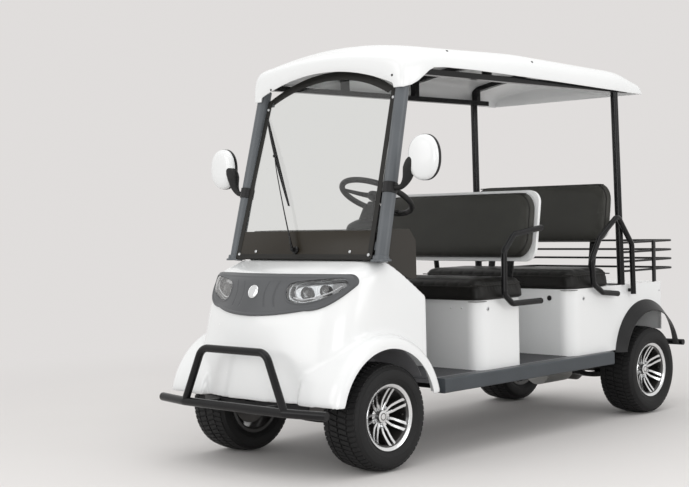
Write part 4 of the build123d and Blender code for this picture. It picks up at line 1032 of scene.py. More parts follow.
# %% Carcass and tread
half = [(0, 222.5), (40, 222.3), (70, 220.4), (86, 216.0), (94, 208.0), (97.5, 202.0), (99.6, 201.2),
        (101.0, 194.0), (102.0, 184.0), (101.6, 174.0), (100.2, 168.0), (101.0, 166.6), (99.6, 165.0),
        (96.5, 157.0), (91.5, 149.5), (88.5, 147.0), (88.0, 142.4), (83.0, 142.3), (83.0, 127.4)]
carcass = hollow_ring("tyre", half + [(-a, r) for a, r in reversed(half[1:])], 112)
crease(carcass, 40)


def tread_block(name, low, high, length, skew, tops):
    """A slanted block: low and high are its edges along the axle, tops the radii of its top at both."""
    base = 214.0
    points = []
    for edge, top in ((low, tops[0]), (high, tops[1])):
        shift = skew * (edge - low) / (high - low)
        for along in (-length / 2, length / 2):
            points.append(Vector((0, along * 1.02 + shift, edge)) / 1000)
            points.append(Vector((top - base, along + shift, edge)) / 1000)
    faces = [(0, 1, 3, 2), (4, 6, 7, 5), (0, 4, 5, 1), (2, 3, 7, 6), (1, 5, 7, 3), (0, 2, 6, 4)]
    return rounded(outward(new_piece(name, points, faces)), 1.1, 1)


TREAD = ((-88, -53, 19.0, -7, (220.3, 226.4), 0.0), (-47, -4, 17.5, 9, (227.2, 228.9), 2.6),
         (4, 47, 17.5, 9, (228.9, 227.2), 5.4), (53, 88, 19.0, -7, (226.4, 220.3), 3.0))
rows = []
for low, high, length, skew, tops, degrees in TREAD:
    one = paint(tread_block("tread_block", low, high, length, skew, tops), tyre_rubber)
    rows.append(ring_of("tread_row", one, tyre_rubber, 58, 214.0, degrees))
tread = joined("tread", rows)
tyre = joined("tyre_whole", [carcass, tread])
crease(tyre, 40)
print("tyre faces", len(tyre.data.polygons))

# %% [markdown]
# ## Rims
# The barrel and its rolled edge are one turned ring. Seven pairs of spokes run out from the hub: each spoke
# is a bar that widens outwards and dips towards the hub, machined bright on its face and black on its
# flanks. Cap, lug nuts, valve and brake drum complete the wheel, made once about the X axis at the origin.

# %% Barrel, spokes and hub
barrel = hollow_ring("barrel", [
    (90, 140.5), (88, 142), (84, 142), (84, 129), (70, 127), (-84, 127), (-84, 142), (-88, 142), (-90, 140.5),
    (-90, 128), (-84, 121), (-60, 118.5), (40, 118.5), (62, 117), (74, 119), (83, 127), (88, 135),
], 96)
crease(barrel, 32)


def spoke(name, side):
    """One of a pair: a bar from the hub to the barrel, leaning away from its twin."""
    rows = []
    for t in np.linspace(0, 1, 11):
        reach = 26 + 98.5 * t
        middle = side * (6.2 + 6.6 * min(1, 2.6 * t) ** 1.4 + 1.4 * t)
        width = 6.0 + 1.8 * t ** 3
        face = 39 + 14 * t + 27 * t ** 2.4
        back = face - 17 + 3 * t
        ring = [(-width, face - 1.2), (-width + 1.2, face), (width - 1.2, face), (width, face - 1.2),
                (width + 1.6, back), (-width - 1.6, back)]
        rows.append([Vector((reach, middle + a, b)) / 1000 for a, b in ring])
    return prism(name, rows)


# A ring's circle can't have no radius at all
NO_RADIUS = 0.0001
pair = joined("spoke_pair", [spoke("spoke", 1), spoke("spoke", -1)])
spokes = ring_of("spokes", paint(pair, gloss_black), gloss_black, 7, NO_RADIUS, -90.0)
crease(spokes, 35)
nut = turned("nut", [(0, 8.2), (9, 8.2), (11, 6.4), (11, 4.2), (7, 4.0)], Vector((0, 0, mm(36))), (0, 0, 1), 6)
nuts = ring_of("lug_nuts", paint(crease(nut, 25), screw_steel), screw_steel, 5, NO_RADIUS + 41, 0.0)
hub_profile = [(-60, 44), (20, 44), (30, 51), (36, 52), (37.5, 50.5), (37.5, 28), (24, 17), (-60, 17)]
hub = crease(hollow_ring("hub", hub_profile, 72), 30)
cap_profile = [(26, 27), (47, 27), (50, 25.5), (51, 21), (52, 12), (52.5, 0.4)]
cap = crease(turned("hub_cap", cap_profile, Vector((0, 0, 0)), (1, 0, 0), 64), 40)
drum_profile = [(-58, 46), (-58, 99), (-54, 99), (-50, 96), (-20, 96), (-14, 88), (-13, 46)]
drum = crease(hollow_ring("brake_drum", drum_profile, 72), 30)
valve_profile = [(0, 3.4), (22, 3.4), (23, 4.4), (31, 4.4), (32, 3.6)]
valve = turned("valve", valve_profile, Vector((mm(50), mm(112), 0)), (0.82, -0.57, 0), 16)
print("spokes faces", len(spokes.data.polygons))

# %% [markdown]
# ## Four wheels
# The finished pieces are copied to the four hubs and mirrored on the right. Faces that look outwards, in
# front of the hub's back, are machined; the rest of the same mesh stays black. Each wheel's pieces ride on
# its body.

# %% Place the wheels
machined_front = machined("machined_front", at(0, 0, AXLE_Z))
machined_rear = machined("machined_rear", at(0, WHEELBASE, AXLE_Z))
PARTS = {"barrel": barrel, "spokes": spokes, "hub": hub, "cap": cap, "nuts": nuts, "drum": drum,
         "valve": valve, "tyre": tyre}
ALLOY = ("barrel", "spokes", "hub", "cap")
TRACK_FRONT, TRACK_REAR = 420, 426


def place_wheel(place, x, y, bright):
    move = Matrix.Translation(at(x, y, AXLE_Z))
    if x < 0:
        move = move @ Matrix.Diagonal((-1, 1, 1, 1))
    made = {}
    for key, source in PARTS.items():
        piece = copied(source, key + "_" + place)
        if key in ALLOY:
            paint(piece, gloss_black, bright)
            for face in piece.data.polygons:
                edge = key == "barrel" and face.center.x > mm(84) and math.hypot(*face.center.yz) > mm(130)
                front = key != "barrel" and face.normal.x > 0.7 and face.center.x > mm(36)
                face.material_index = 1 if edge or front else 0
        piece.data.transform(move)
        if x < 0:
            piece.data.flip_normals()
        made[key] = piece
    body = "wheel_" + place
    for key in ALLOY:
        dress(made[key], None, body, ["rim_" + place])
    dress(made["nuts"], screw_steel, body)
    dress(made["drum"], axle_steel, body)
    dress(made["valve"], seal_rubber, body)
    dress(made["tyre"], tyre_rubber, body, ["tyre_" + place])


place_wheel("front_left", TRACK_FRONT, 0, machined_front)
place_wheel("front_right", -TRACK_FRONT, 0, machined_front)
place_wheel("rear_left", TRACK_REAR, WHEELBASE, machined_rear)
place_wheel("rear_right", -TRACK_REAR, WHEELBASE, machined_rear)
for source in PARTS.values():
    bpy.data.objects.remove(source)
print("wheels placed")

# %% [markdown]
# ## Vinyl
# The seats are covered in dark brown-black vinyl. It has a leather grain of irregular cells, long soft
# ripples where it is pulled over the foam, and duller patches where it is worn.


# %% Seat vinyl
def vinyl(name, colour, worn):
    finish = Finish(name, Coat_Roughness=0.28, Specular_IOR_Level=0.15)
    to_edge = {"feature": "DISTANCE_TO_EDGE"}
    cells = finish.node("ShaderNodeTexVoronoi", to_edge, Vector=finish.here, Scale=340.0)
    cloud = finish.noise(7.0, 5.0)
    stretched = finish.node("ShaderNodeMapping", Vector=finish.here, Scale=(1.0, 3.4, 2.2))
    pull = finish.noise(9.0, 4.0, stretched)
    finish.feed("Base Color", finish.mix(cloud, colour, worn))
    finish.feed("Roughness", 0.42 + cloud * 0.16 - pull * 0.05)
    finish.feed("Coat Weight", 0.08 + cloud * 0.10)
    finish.bump(cells * 1.6 + pull * 2.2 + finish.noise(900.0, 2.0) * 0.2, 0.22, 0.0012)
    return finish


seat_vinyl = vinyl("seat_vinyl", (0.006, 0.006, 0.0055), (0.011, 0.0105, 0.0095))
back_vinyl = vinyl("back_vinyl", (0.036, 0.036, 0.032), (0.050, 0.0495, 0.044))
welt_vinyl = vinyl("welt_vinyl", (0.016, 0.0155, 0.014), (0.024, 0.023, 0.021))
print("vinyls for the seats, the backs and the welts")

# %% [markdown]
# ## Cushions, blown up like real pads
# A pad is foam in a tight cover, so each one starts as a slightly small rounded block, is remeshed evenly,
# and is then swollen by the cloth solver with air pressure and no gravity, while its underside stays on its
# board. The movement of any point is capped. One seat pad and one back pad are blown up and reused.


# %% Blow up a pad
PAD_VOXEL, PAD_PRESSURE, PAD_FRAMES = 6.0, 4.0, 20
HELD_HEIGHT = 9


def rounded_rect(half_x, half_y, radius, steps=10):
    """A rectangle with round corners, counter-clockwise, in millimetres."""
    line = []
    for cx, cy, start in ((1, 1, 0), (-1, 1, 90), (-1, -1, 180), (1, -1, 270)):
        middle_x, middle_y = cx * (half_x - radius), cy * (half_y - radius)
        for k in range(steps + 1):
            a = math.radians(start + 90 * k / steps)
            line.append((middle_x + radius * math.cos(a), middle_y + radius * math.sin(a)))
    return line


def pad_block(name, half_x, half_y, radius, levels):
    """A closed pad about the origin from (height, inset) levels."""
    rows = []
    for height, inset in levels:
        rows.append([Vector((x, y, height)) / 1000
                     for x, y in rounded_rect(half_x - inset, half_y - inset, radius - inset * 0.6)])
    return prism(name, rows)


def puffed(piece, cap):
    """The pad blown up by the cloth solver, with its foot held and every point's way capped."""
    piece = remesh(piece, PAD_VOXEL, 2)
    before = np.array([v.co[:] for v in piece.data.vertices])
    group = piece.vertex_groups.new(name="held")
    group.add([int(i) for i in np.nonzero(before[:, 2] < mm(HELD_HEIGHT))[0]], 1.0, "REPLACE")
    cloth = piece.modifiers.new("pressure", "CLOTH")
    cloth.settings.quality = 4
    cloth.settings.mass = 0.25
    cloth.settings.tension_stiffness = cloth.settings.compression_stiffness = 22
    cloth.settings.bending_stiffness = 1.2
    cloth.settings.use_pressure = True
    cloth.settings.uniform_pressure_force = PAD_PRESSURE
    cloth.settings.vertex_group_mass = "held"
    cloth.settings.effector_weights.gravity = 0.0
    cloth.collision_settings.use_collision = False
    for step in range(1, PAD_FRAMES + 1):
        bpy.context.scene.frame_set(step)
    bake(piece)
    piece.vertex_groups.clear()
    bpy.context.scene.frame_set(1)
    after = np.array([v.co[:] for v in piece.data.vertices])
    shift = after - before
    size = np.linalg.norm(shift, axis=1)
    print("swell mm: mean %.1f, most %.1f" % (size.mean() * 1000, size.max() * 1000))
    shift *= (mm(cap) * np.tanh(size / mm(cap)) / np.maximum(size, 1e-9))[:, None]
    piece.data.vertices.foreach_set("co", (before + shift).ravel())
    soft = piece.modifiers.new("soft", "SMOOTH")
    soft.factor, soft.iterations = 0.5, 14
    return crease(bake(piece), 180)


def measure(pad):
    """Prints how far a pad reaches from the middle of its foot."""
    reach = 1000 * np.array([v.co[:] for v in pad.data.vertices]).max(axis=0)
    print(pad.name, "reaches %.0f, %.0f and %.0f mm," % tuple(reach), len(pad.data.polygons), "faces")


# (height, inset) pairs up the side of each pad
SEAT_LEVELS = [(0.6, 3), (6, 0), (30, 0), (62, 1), (76, 4), (86, 12), (90, 26)]
seat_pad = puffed(pad_block("seat_pad", 484, 184, 52, SEAT_LEVELS), 8)
measure(seat_pad)
BACK_LEVELS = [(0.6, 3), (8, 0), (24, 0), (34, 3), (41, 10), (44, 24)]
back_pad = puffed(pad_block("back_pad", 466, 149, 84, BACK_LEVELS), 5)
measure(back_pad)

# %% [markdown]
# ## Seams
# The top panel of each pad is sewn to its side band. A fine welt follows that seam: its points are dropped on
# the blown-up surface from above, so it sinks and rises with the foam. The pad dips beside the seam, as the
# thread pulls it down.


# %% Seams and welts
def seam(pad, half_x, half_y, radius, inset, depth, reach):
    """Pulls the pad in along its seam and returns the line that the welt follows."""
    outline = np.array(rounded_rect(half_x - inset, half_y - inset, radius - inset * 0.5, 12))
    onward = np.roll(outline, -1, axis=0) - outline
    dense = np.concatenate([outline + onward * t for t in np.linspace(0, 1, 12, False)])
    places = np.array([v.co[:] for v in pad.data.vertices])
    normals = np.array([v.normal[:] for v in pad.data.vertices])
    floor_z = places[:, 2].max() * 0.45
    top = np.nonzero((normals[:, 2] > 0.15) & (places[:, 2] > floor_z))[0]
    # The points are taken a few thousand at a time, to spare memory
    for start in range(0, len(top), 4000):
        some = top[start:start + 4000]
        across, along = (places[some, i][:, None] * 1000 - dense[:, i] for i in (0, 1))
        gap = np.min(np.hypot(across, along), axis=1)
        places[some] -= normals[some] * (mm(depth) * np.exp(-((gap / reach) ** 2)))[:, None]
    pad.data.vertices.foreach_set("co", places.ravel())
    pad.data.update()
    line = []
    for x, y in outline:
        _, place, normal, _ = pad.ray_cast(Vector((mm(x), mm(y), 0.5)), Vector((0, 0, -1)))
        line.append(place + normal * mm(0.6))
    return line


seat_seam = seam(seat_pad, 488, 188, 56, 15, 2.6, 9)
seat_welt = tube("seat_welt", soften(seat_seam, 2, True), 3.0, 8, True)
back_seam = seam(back_pad, 470, 153, 86, 17, 2.2, 8)
back_welt = tube("back_welt", soften(back_seam, 2, True), 2.6, 8, True)
print("seam points", len(seat_seam), len(back_seam))


# %% Place the pads
def set_pad(source, welt, name, move, node, cover):
    pad, cord = copied(source, name), copied(welt, name + "_welt")
    for piece in (pad, cord):
        piece.data.transform(move)
    dress(pad, cover, "root", [node])
    dress(cord, welt_vinyl, "root")


SEAT_HALF_DEPTH = 187.5
# Columns: name, front edge, foot, node
SEATS = (("seat_front", 636, 678.4, "cushion_front"), ("seat_rear", 1366, 690.4, "cushion_rear"))
for name, front, foot, node in SEATS:
    move = Matrix.Translation(at(0, front + SEAT_HALF_DEPTH, foot))
    set_pad(seat_pad, seat_welt, name, move, node, seat_vinyl)

LEAN, BACK_THICKNESS = math.radians(-9), 49.5
BACK_HALF_WIDTH, BACK_HEIGHT = 470, 306
# Columns: name, front face, foot, lowest and highest point up the slope, half width, node
BACKS = (("back_front", 1022, 872, -14, 320, 482, "backrest_front"),
         ("back_rear", 1740, 912, 0, 326, 446, "backrest_rear"))
for name, front, foot, low, high, half, node in BACKS:
    stand = Matrix.Translation(at(0, front, foot)) @ Matrix.Rotation(LEAN, 4, "X")
    stand = stand @ Matrix.Translation((0, mm(BACK_THICKNESS), mm((low + high) / 2)))
    stand = stand @ Matrix.Rotation(math.pi / 2, 4, "X")
    spread = Matrix.Diagonal((half / BACK_HALF_WIDTH, (high - low) / BACK_HEIGHT, 1, 1))
    set_pad(back_pad, back_welt, name, stand @ spread, node, back_vinyl)
for piece in (seat_pad, seat_welt, back_pad, back_welt):
    bpy.data.objects.remove(piece)
print("pads placed")

# %% [markdown]
# ## Finishes on the ready-made parts
# The frame, the tubes and the boxes keep their solids and only get a finish. Steel that hangs low is coated
# more thickly and duller than the tubes that people hold.

# %% Paint the parts that stay
PAINTED = {
    "frame_rails": chassis_coat, "frame_crossmembers": chassis_coat, "side_sills": slate_coat,
    "floor_panel": liner_plastic, "lower_valance": trim_plastic, "wheel_liners_front": liner_plastic,
    "toe_board": trim_plastic, "dashboard": dash_plastic, "windscreen": screen_glass,
    "roof_frame": black_coat, "rear_posts": black_coat,
    "seat_box_front": body_white, "rear_body": body_white, "rear_flares": trim_plastic,
    "backrest_shell_front": body_white, "backrest_shell_rear": body_white, "backrest_supports": black_coat,
    "hand_rails_front": black_coat, "hand_rails_rear": black_coat, "cargo_rack": black_coat,
    "front_bumper": black_coat, "rear_bumper": black_coat, "front_axle": axle_steel,
    "rear_axle": axle_steel, "knuckle_left": axle_steel, "knuckle_right": axle_steel,
    "tie_rod": axle_steel, "drive_motor": motor_alloy, "leaf_springs": chassis_coat,
    "battery_block": battery_case, "steering_column": trim_plastic,
}
for node, finish in PAINTED.items():
    for holder in bpy.data.objects[node].material_slots:
        holder.material = finish.material
print("painted", len(PAINTED))

# %% [markdown]
# ## Windscreen
# The glass is ready made. Round it lies a dark border, wider under the arched top, and a brown band lies
# across its foot to hide the dashboard's front edge. A rubber seal closes the joint with the cowl.

# %% Places on the glass
GLASS_FOOT, GLASS_SHOULDER, GLASS_TOP = 898, 1627, 1738
GLASS_FOOT_Y, GLASS_SHOULDER_Y = -9, 200
GLASS_HALF_FOOT, GLASS_HALF_TOP = 434, 408
GLASS_TAPER = 0.0357
GLASS_RISE = (GLASS_SHOULDER - GLASS_FOOT) / (GLASS_SHOULDER_Y - GLASS_FOOT_Y)
GLASS_SLANT = math.hypot(1, 1 / GLASS_RISE)


def on_glass(x, z, stand=0.0):
    """A place on the front of the windscreen, or a distance in front of it."""
    y = GLASS_FOOT_Y + (z - GLASS_FOOT) / GLASS_RISE
    return at(x, y - stand / GLASS_SLANT, z + stand / GLASS_RISE / GLASS_SLANT)


def screen_outline(side, foot, top):
    """The screen's outline, drawn in by three insets, as (x, z) pairs."""
    low, half = GLASS_FOOT + foot, GLASS_HALF_TOP - side
    half_foot = GLASS_HALF_FOOT - side - foot * GLASS_TAPER
    arch = GLASS_TOP - GLASS_SHOULDER
    reach = (GLASS_HALF_TOP ** 2 + arch ** 2) / (2 * arch)
    line = [(half_foot, low), (half, GLASS_SHOULDER)]
    for x in np.linspace(half, -half, 41)[1:-1]:
        line.append((float(x), GLASS_TOP - top - reach + math.sqrt(reach ** 2 - float(x) ** 2)))
    return line + [(-half, GLASS_SHOULDER), (-half_foot, low)]


print("glass rises", round(GLASS_RISE, 2), "for each length back")

# %% Border, brown band and seal
rows = []
for outer, inner in zip(screen_outline(0.5, 0.5, 0.5), screen_outline(27, 16, 40)):
    rows.append([on_glass(*outer, 2.2), on_glass(*inner, 2.2), on_glass(*inner, 0.1), on_glass(*outer, 0.1)])
border = outward(skin("screen_border", rows, ring=True, loop=True))
dress(rounded(border, 0.8, 2), seal_rubber, "root")

brown_panel = grained("screen_panel_brown", (0.014, 0.0105, 0.0055), 0.30, 700.0, 0.08)
panel = []
for z in (900, 960, 1016):
    edge = GLASS_HALF_FOOT - 2 - (z - GLASS_FOOT) * GLASS_TAPER
    corners = ((-edge, 1.3), (edge, 1.3), (edge, 0.1), (-edge, 0.1))
    panel.append([on_glass(x, z, stand) for x, stand in corners])
panel = prism("screen_panel", panel)
dress(rounded(panel, 0.4, 2), brown_panel, "root")
line = [on_glass(x, 896, -2) for x in np.linspace(-430, 430, 24)]
dress(tube("screen_seal", line, 6.5, 12), seal_rubber, "root")
print("windscreen border faces", len(border.data.polygons))

# %% Screws through the glass
SCREWS = ((-412, 912), (-300, 925), (300, 925), (412, 912), (-398, 1590), (398, 1590))
SCREW_HEAD = [(0, 7.4), (2.0, 7.4), (3.6, 6.0), (4.4, 3.6), (2.9, 2.9), (2.9, 0.4)]
screws = []
for x, z in SCREWS:
    face = (on_glass(x, z, 10) - on_glass(x, z)).normalized()
    screws.append(turned("screw", SCREW_HEAD, on_glass(x, z, 1.5), face, 24))
dress(joined("screen_screws", screws), screw_steel, "root")
print("screws", len(SCREWS))

# %% [markdown]
# ## Pillars
# Each pillar is a leaning tube in a round collar that is screwed to the cowl. Two short tabs hold the glass.
# Both parts are turnings, so the left pillar is joined from them, and the right one is its mirror image.

# %% Pillars
FOOT_X, FOOT_Y, FOOT_Z = 463, 16, 885
FOOT, HEAD = at(FOOT_X, FOOT_Y, FOOT_Z), at(441, 214, 1690)
COLLAR = [(0, 45), (6, 45), (8.5, 42.5), (9.5, 37), (20, 34.5), (24, 33.5), (25.5, 31.5), (25.5, 29)]
BOLT = [(8, 4), (12.4, 4), (13, 3.2), (13, 0.3)]
TAB_SHARES, TAB_HEIGHT, TAB_INNER = (0.05, 0.97), 34, 372
rise = (HEAD - FOOT).normalized()
for side, name in ((1, "left"), (-1, "right")):
    shaft = turned("shaft", [(0, 30), ((HEAD - FOOT).length * 1000 - 10, 30)], FOOT, rise, 48)
    pieces = [shaft, turned("collar", COLLAR, FOOT, (0, 0, 1), 48)]
    for share in TAB_SHARES:
        z = GLASS_FOOT + share * (GLASS_SHOULDER - GLASS_FOOT)
        low, high = on_glass(TAB_INNER, z, -5.6), on_glass(TAB_INNER, z + TAB_HEIGHT, -5.6)
        wide, deep = Vector((mm(70), 0, 0)), on_glass(TAB_INNER, z, -10.6) - low
        ends = [[end, end + wide, end + wide + deep, end + deep] for end in (low, high)]
        pieces.append(prism("tab", ends))
    for dx, dy in ((-38, 0), (38, 0), (0, -38), (0, 38)):
        place = at(FOOT_X + dx, FOOT_Y + dy, FOOT_Z - 1)
        pieces.append(turned("bolt", BOLT, place, (0, 0, 1), 6))
    pillar = joined("pillar_" + name, pieces)
    if side < 0:
        pillar = on_right(pillar, "pillar_" + name)
    dress(crease(pillar, 32), pillar_coat, "root", ["windscreen_pillars"])
print("pillars", round((HEAD - FOOT).length, 3), "m long")

# %% [markdown]
# ## Wiper
# A pivot housing on the glass, a flat arm that narrows towards its end, a bowed blade holder and a thin
# rubber. Arm and holder are tubes along a few points over the glass, with a radius for each point.

# %% Places of the wiper
face = (on_glass(0, 1000, 10) - on_glass(0, 1000)).normalized()
BLADE_LOW, BLADE_HIGH, ARM_SHARE = np.array([-130, 1130]), np.array([-388, 1548]), 0.55
PIVOT = np.array([-35, 930])
ARM_TOP = BLADE_LOW + ARM_SHARE * (BLADE_HIGH - BLADE_LOW)


def along(start, end, places):
    """Points over the glass between two places on it. places holds shares and distances off the glass."""
    return [on_glass(*(start + share * (end - start)), stand) for share, stand in places]


print("wiper arm ends at", ARM_TOP.round())

# %% Wiper
pivot = [(0, 17), (9, 17), (12, 14), (14, 9.5), (26, 9.5), (33, 8), (34, 0.5)]
pivot = turned("pivot", pivot, on_glass(*PIVOT), face, 40)
neck = tube("neck", along(PIVOT, ARM_TOP, ((0, 27), (0.07, 29), (0.13, 29))), [10, 9, 7.5], 12, flat=0.6)
arm = tube("arm", soften(along(PIVOT, ARM_TOP, ((0.11, 29), (0.45, 32), (0.82, 30), (1, 23))), 6),
           [7.5 - 0.2 * k for k in range(19)], 12, flat=0.45)
bow = soften(along(BLADE_LOW, BLADE_HIGH, ((0, 9), (0.26, 16), (0.55, 19), (0.8, 16), (1, 9))), 8)
bow = tube("bow", bow, [3.2 + 2.4 * math.sin(math.pi * k / 32) for k in range(33)], 10)
strip = []
for share in np.linspace(0, 1, 13):
    x, z = BLADE_LOW + share * (BLADE_HIGH - BLADE_LOW)
    corners = ((-3.0, 10), (3.0, 10), (0.8, 0.6), (-0.8, 0.6))
    strip.append([on_glass(x + dx, z, stand) for dx, stand in corners])
strip = prism("strip", strip)
link = turned("link", [(0, 8), (17, 8), (19, 6.5)], on_glass(*ARM_TOP, 9), face, 24)
whole = joined("wiper_arm", [crease(pivot, 35), neck, arm, bow, crease(link, 35)])
dress(whole, black_coat, "root", ["wiper"])
dress(crease(strip, 30), seal_rubber, "root", ["wiper"])
print("wiper faces", len(whole.data.polygons) + len(strip.data.polygons))

# %% [markdown]
# ## Mirrors
# Each head is an oval shell, white towards the front, with a black rim and the mirror's glass towards the
# driver. It sits on a tapering rubber boot that bends up from a clamp on the pillar.

# %% Mirrors
MIRROR_X, MIRROR_Z = 637, 1318


def oval(across, upright, y, steps=64):
    """An oval across the vehicle: a little squarer than an ellipse."""
    row = []
    for a in circle_angles(steps):
        c, s = math.cos(a), math.sin(a)
        x, z = across * abs(c) ** 0.9 * np.sign(c), upright * abs(s) ** 0.9 * np.sign(s)
        row.append(at(MIRROR_X + x, y, MIRROR_Z + z))
    return row


BOOT_PLACES = ((486, 91, 1195), (522, 92, 1200), (549, 95, 1232), (566, 99, 1285), (592, 102, 1322))
for side, name in ((1, "left"), (-1, "right")):
    dome = [oval(80, 95, 112), oval(81, 96, 106), oval(80, 95, 98), oval(76, 91, 90), oval(67, 81, 83),
            oval(52, 64, 78.5), oval(32, 42, 76.6), oval(12, 18, 76.1), oval(2, 3, 76)]
    cap = prism("mirror_cap_" + name, dome)
    rim = [oval(80.5, 95.5, 104), oval(82, 97, 108), oval(82, 97, 119), oval(79.5, 94.5, 123.5),
           oval(75, 90, 123), oval(73, 88, 119), oval(73, 88, 108)]
    rim = outward(skin("mirror_rim_" + name, rim, ring=True, loop=True))
    glass = [oval(73.5, 88.5, 112.5), oval(73.5, 88.5, 119), oval(60, 74, 120), oval(30, 40, 120.8),
             oval(2, 3, 121)]
    glass = prism("mirror_face_" + name, glass)
    line = soften([at(*place) for place in BOOT_PLACES], 8)
    radii = [12 + 17 * min(1, max(0, (k - 8) / 14)) ** 1.3 - 9 * max(0, (k - 26) / 6) for k in range(33)]
    boot = tube("mirror_boot_" + name, line, radii, 24)
    up = (at(441, 214, 1690) - at(463, 16, 893)).normalized()
    clamp = turned("mirror_clamp_" + name, [(-24, 31), (-22, 33.5), (22, 33.5), (24, 31)],
                   at(454.7, 91, 1195), up, 48)
    # Columns: piece, finish, the angle that stays sharp, the node it replaces, its slot
    made = [(cap, body_white, 60, ["mirrors"], None), (rim, trim_plastic, 32, ["mirrors"], "trim_black"),
            (glass, mirror_glass, 32, (), None), (boot, grip_rubber, 60, ["mirrors"], None),
            (clamp, trim_plastic, 32, ["mirrors"], "trim_black")]
    for piece, finish, degrees, node, slot in made:
        if side < 0:
            piece = on_right(piece, piece.name + "_twin")
        dress(crease(piece, degrees), finish, "root", node)
print("mirrors made")

# %% [markdown]
# ## Steering wheel
# A padded ring on three curved spokes with a domed boss. The column wears a squarish cover with a stalk. All
# of it is set out in the wheel's own directions: across, up its face, and along its axis.

# %% Steering wheel
WHEEL = at(230, 252, 1161)
TILT = math.radians(28)
WHEEL_AXIS, WHEEL_SIDE = Vector((0, math.sin(TILT), math.cos(TILT))), Vector((1, 0, 0))
WHEEL_UP = WHEEL_AXIS.cross(WHEEL_SIDE)


def on_wheel(across, up, lift):
    return WHEEL + WHEEL_SIDE * mm(across) + WHEEL_UP * mm(up) + WHEEL_AXIS * mm(lift)


RIM_RADIUS, GRIP_RADIUS, GRIP_DIP = 162, 13, 1.1
ring = [on_wheel(RIM_RADIUS * math.cos(a), RIM_RADIUS * math.sin(a), 0) for a in circle_angles(88)]
# Finger grooves: every fourth ring of the grip dips, over a part of the rim
grip = [GRIP_RADIUS - GRIP_DIP * (1 if k % 4 == 0 and 8 < k < 36 else 0) for k in range(88)]
grip = tube("grip", ring, grip, 18, True)
spokes = []
for degrees in (90, 210, 330):
    a = math.radians(degrees)
    line = [on_wheel(math.cos(a) * reach, math.sin(a) * reach, lift)
            for reach, lift in ((30, -1), (70, -3), (120, -2), (156, 0))]
    spokes.append(tube("spoke", soften(line, 6), [17 - 0.45 * k for k in range(19)], 14, flat=0.35))
boss = [(-14, 36), (-10, 42), (6, 42), (11, 39), (14, 32), (15.5, 20), (16, 1)]
boss = crease(turned("boss", boss, WHEEL, WHEEL_AXIS, 56), 40)
shaft = crease(turned("shaft", [(-60, 12), (-14, 12)], WHEEL, WHEEL_AXIS, 24), 40)
dress(joined("steering_ring", [grip] + spokes + [boss, shaft]), grip_rubber, "steering_wheel",
      ["steering_wheel"])
print("steering wheel on its axis")


# %% Column cover and stalk
def squared(value):
    """A cosine or sine, raised so that an oval gets squarer."""
    return math.copysign(abs(value) ** 0.6, value)


# Columns: place along the axis, half width, half height, how far the middle lies up
COVER = ((-48, 33, 30, 0), (-58, 39, 37, 3), (-120, 42, 44, 8), (-190, 40, 40, 8), (-222, 34, 33, 2))
cover = []
for lift, wide, tall, drop in COVER:
    cover.append([on_wheel(wide * squared(math.cos(a)), tall * squared(math.sin(a)) + drop, lift)
                  for a in circle_angles(40)])
cover = crease(prism("column_cover", cover), 40)
bore = turned("bore", [(-260, 32), (-20, 32)], WHEEL, WHEEL_AXIS, 40)
dress(carve(cover, bore), trim_plastic, "root")
stalk = tube("stalk", soften([on_wheel(38, 0, -84), on_wheel(90, 6, -78), on_wheel(150, 12, -66)], 5),
             [5, 5, 5, 4.5, 4.5, 4.5, 5, 7, 8, 8, 6], 12)
dress(stalk, trim_plastic, "root")
print("steering made")

# %% [markdown]
# ## Small fittings
# Locks, screws and bolts are set where the picture shows them: each pixel's ray is followed to the piece
# that carries it. A lock is a steel plate with a dark keyhole; a screw is a domed head with a socket.

# %% Locks, screws and bolts
# (height, share of the radius) up each kind of head, the sharp angle and the number of sides
HEADS = {"lock": (((-0.5, 1), (1.8, 1), (3.0, 0.86), (2.2, 0.7)), 2.2, 30, 32),
         "screw": (((-0.5, 1), (1.0, 1), (2.2, 0.8), (3.0, 0.45), (1.8, 0.4)), 1.8, 30, 20),
         "catch": (((-0.5, 1), (3, 1), (5.5, 0.8)), 6, 35, 28)}


def fitting(kind, place, normal, radius):
    """A small round fitting on a surface: its head and, on a lock, the slit."""
    shares, last, degrees, sides = HEADS["screw" if kind == "bolt" else kind]
    profile = [(height, radius * share) for height, share in shares] + [(last, 0.3)]
    pieces = [crease(turned("head", profile, place, normal, sides), degrees)]
    if kind == "lock":
        middle, half = place + normal * mm(2.6), Vector((0, 0, mm(radius * 0.4)))
        pieces.append(tube("slit", [middle - half, middle, middle + half], 1.6, 8))
    return pieces


seat_side, rear_side = bpy.data.objects["seat_box_front"], bpy.data.objects["rear_body"]
# Columns: kind, carrier, pixel, radius, whether the right side has one too
FITTINGS = (("lock", seat_side, 488, 309, 9, True), ("screw", seat_side, 451, 308, 4.5, False),
            ("screw", seat_side, 461.5, 308, 4.5, False), ("lock", rear_side, 583.5, 298.5, 9, True),
            ("catch", rear_side, 549.5, 298, 13, True), ("screw", rear_side, 659, 290, 5, True),
            ("bolt", roof, 271, 90, 5.5, False), ("bolt", roof, 392, 75, 5.5, False),
            ("bolt", roof, 447, 51, 6, True), ("bolt", roof, 532, 62, 6, True))
bright, dark = [], []
for kind, carrier, u, v, radius, both in FITTINGS:
    place, normal = seen_on(carrier, u, v)
    for side in (1, -1) if both else (1,):
        across = Matrix.Diagonal((side, 1, 1))
        head, *slit = fitting(kind, across @ place, across @ normal, radius)
        (bright if kind in ("lock", "screw") else dark).append(head)
        dark += slit
    print(kind, carrier.name, [round(c * 1000) for c in place])
dress(joined("fittings_bright", bright), screw_steel, "root")
dress(joined("fittings_dark", dark), trim_plastic, "root")

# %% [markdown]
# ## Floor mats
# Both footwells have a ribbed rubber mat. One rib is modelled, and a second, smaller tree repeats it along a
# line across the mat.


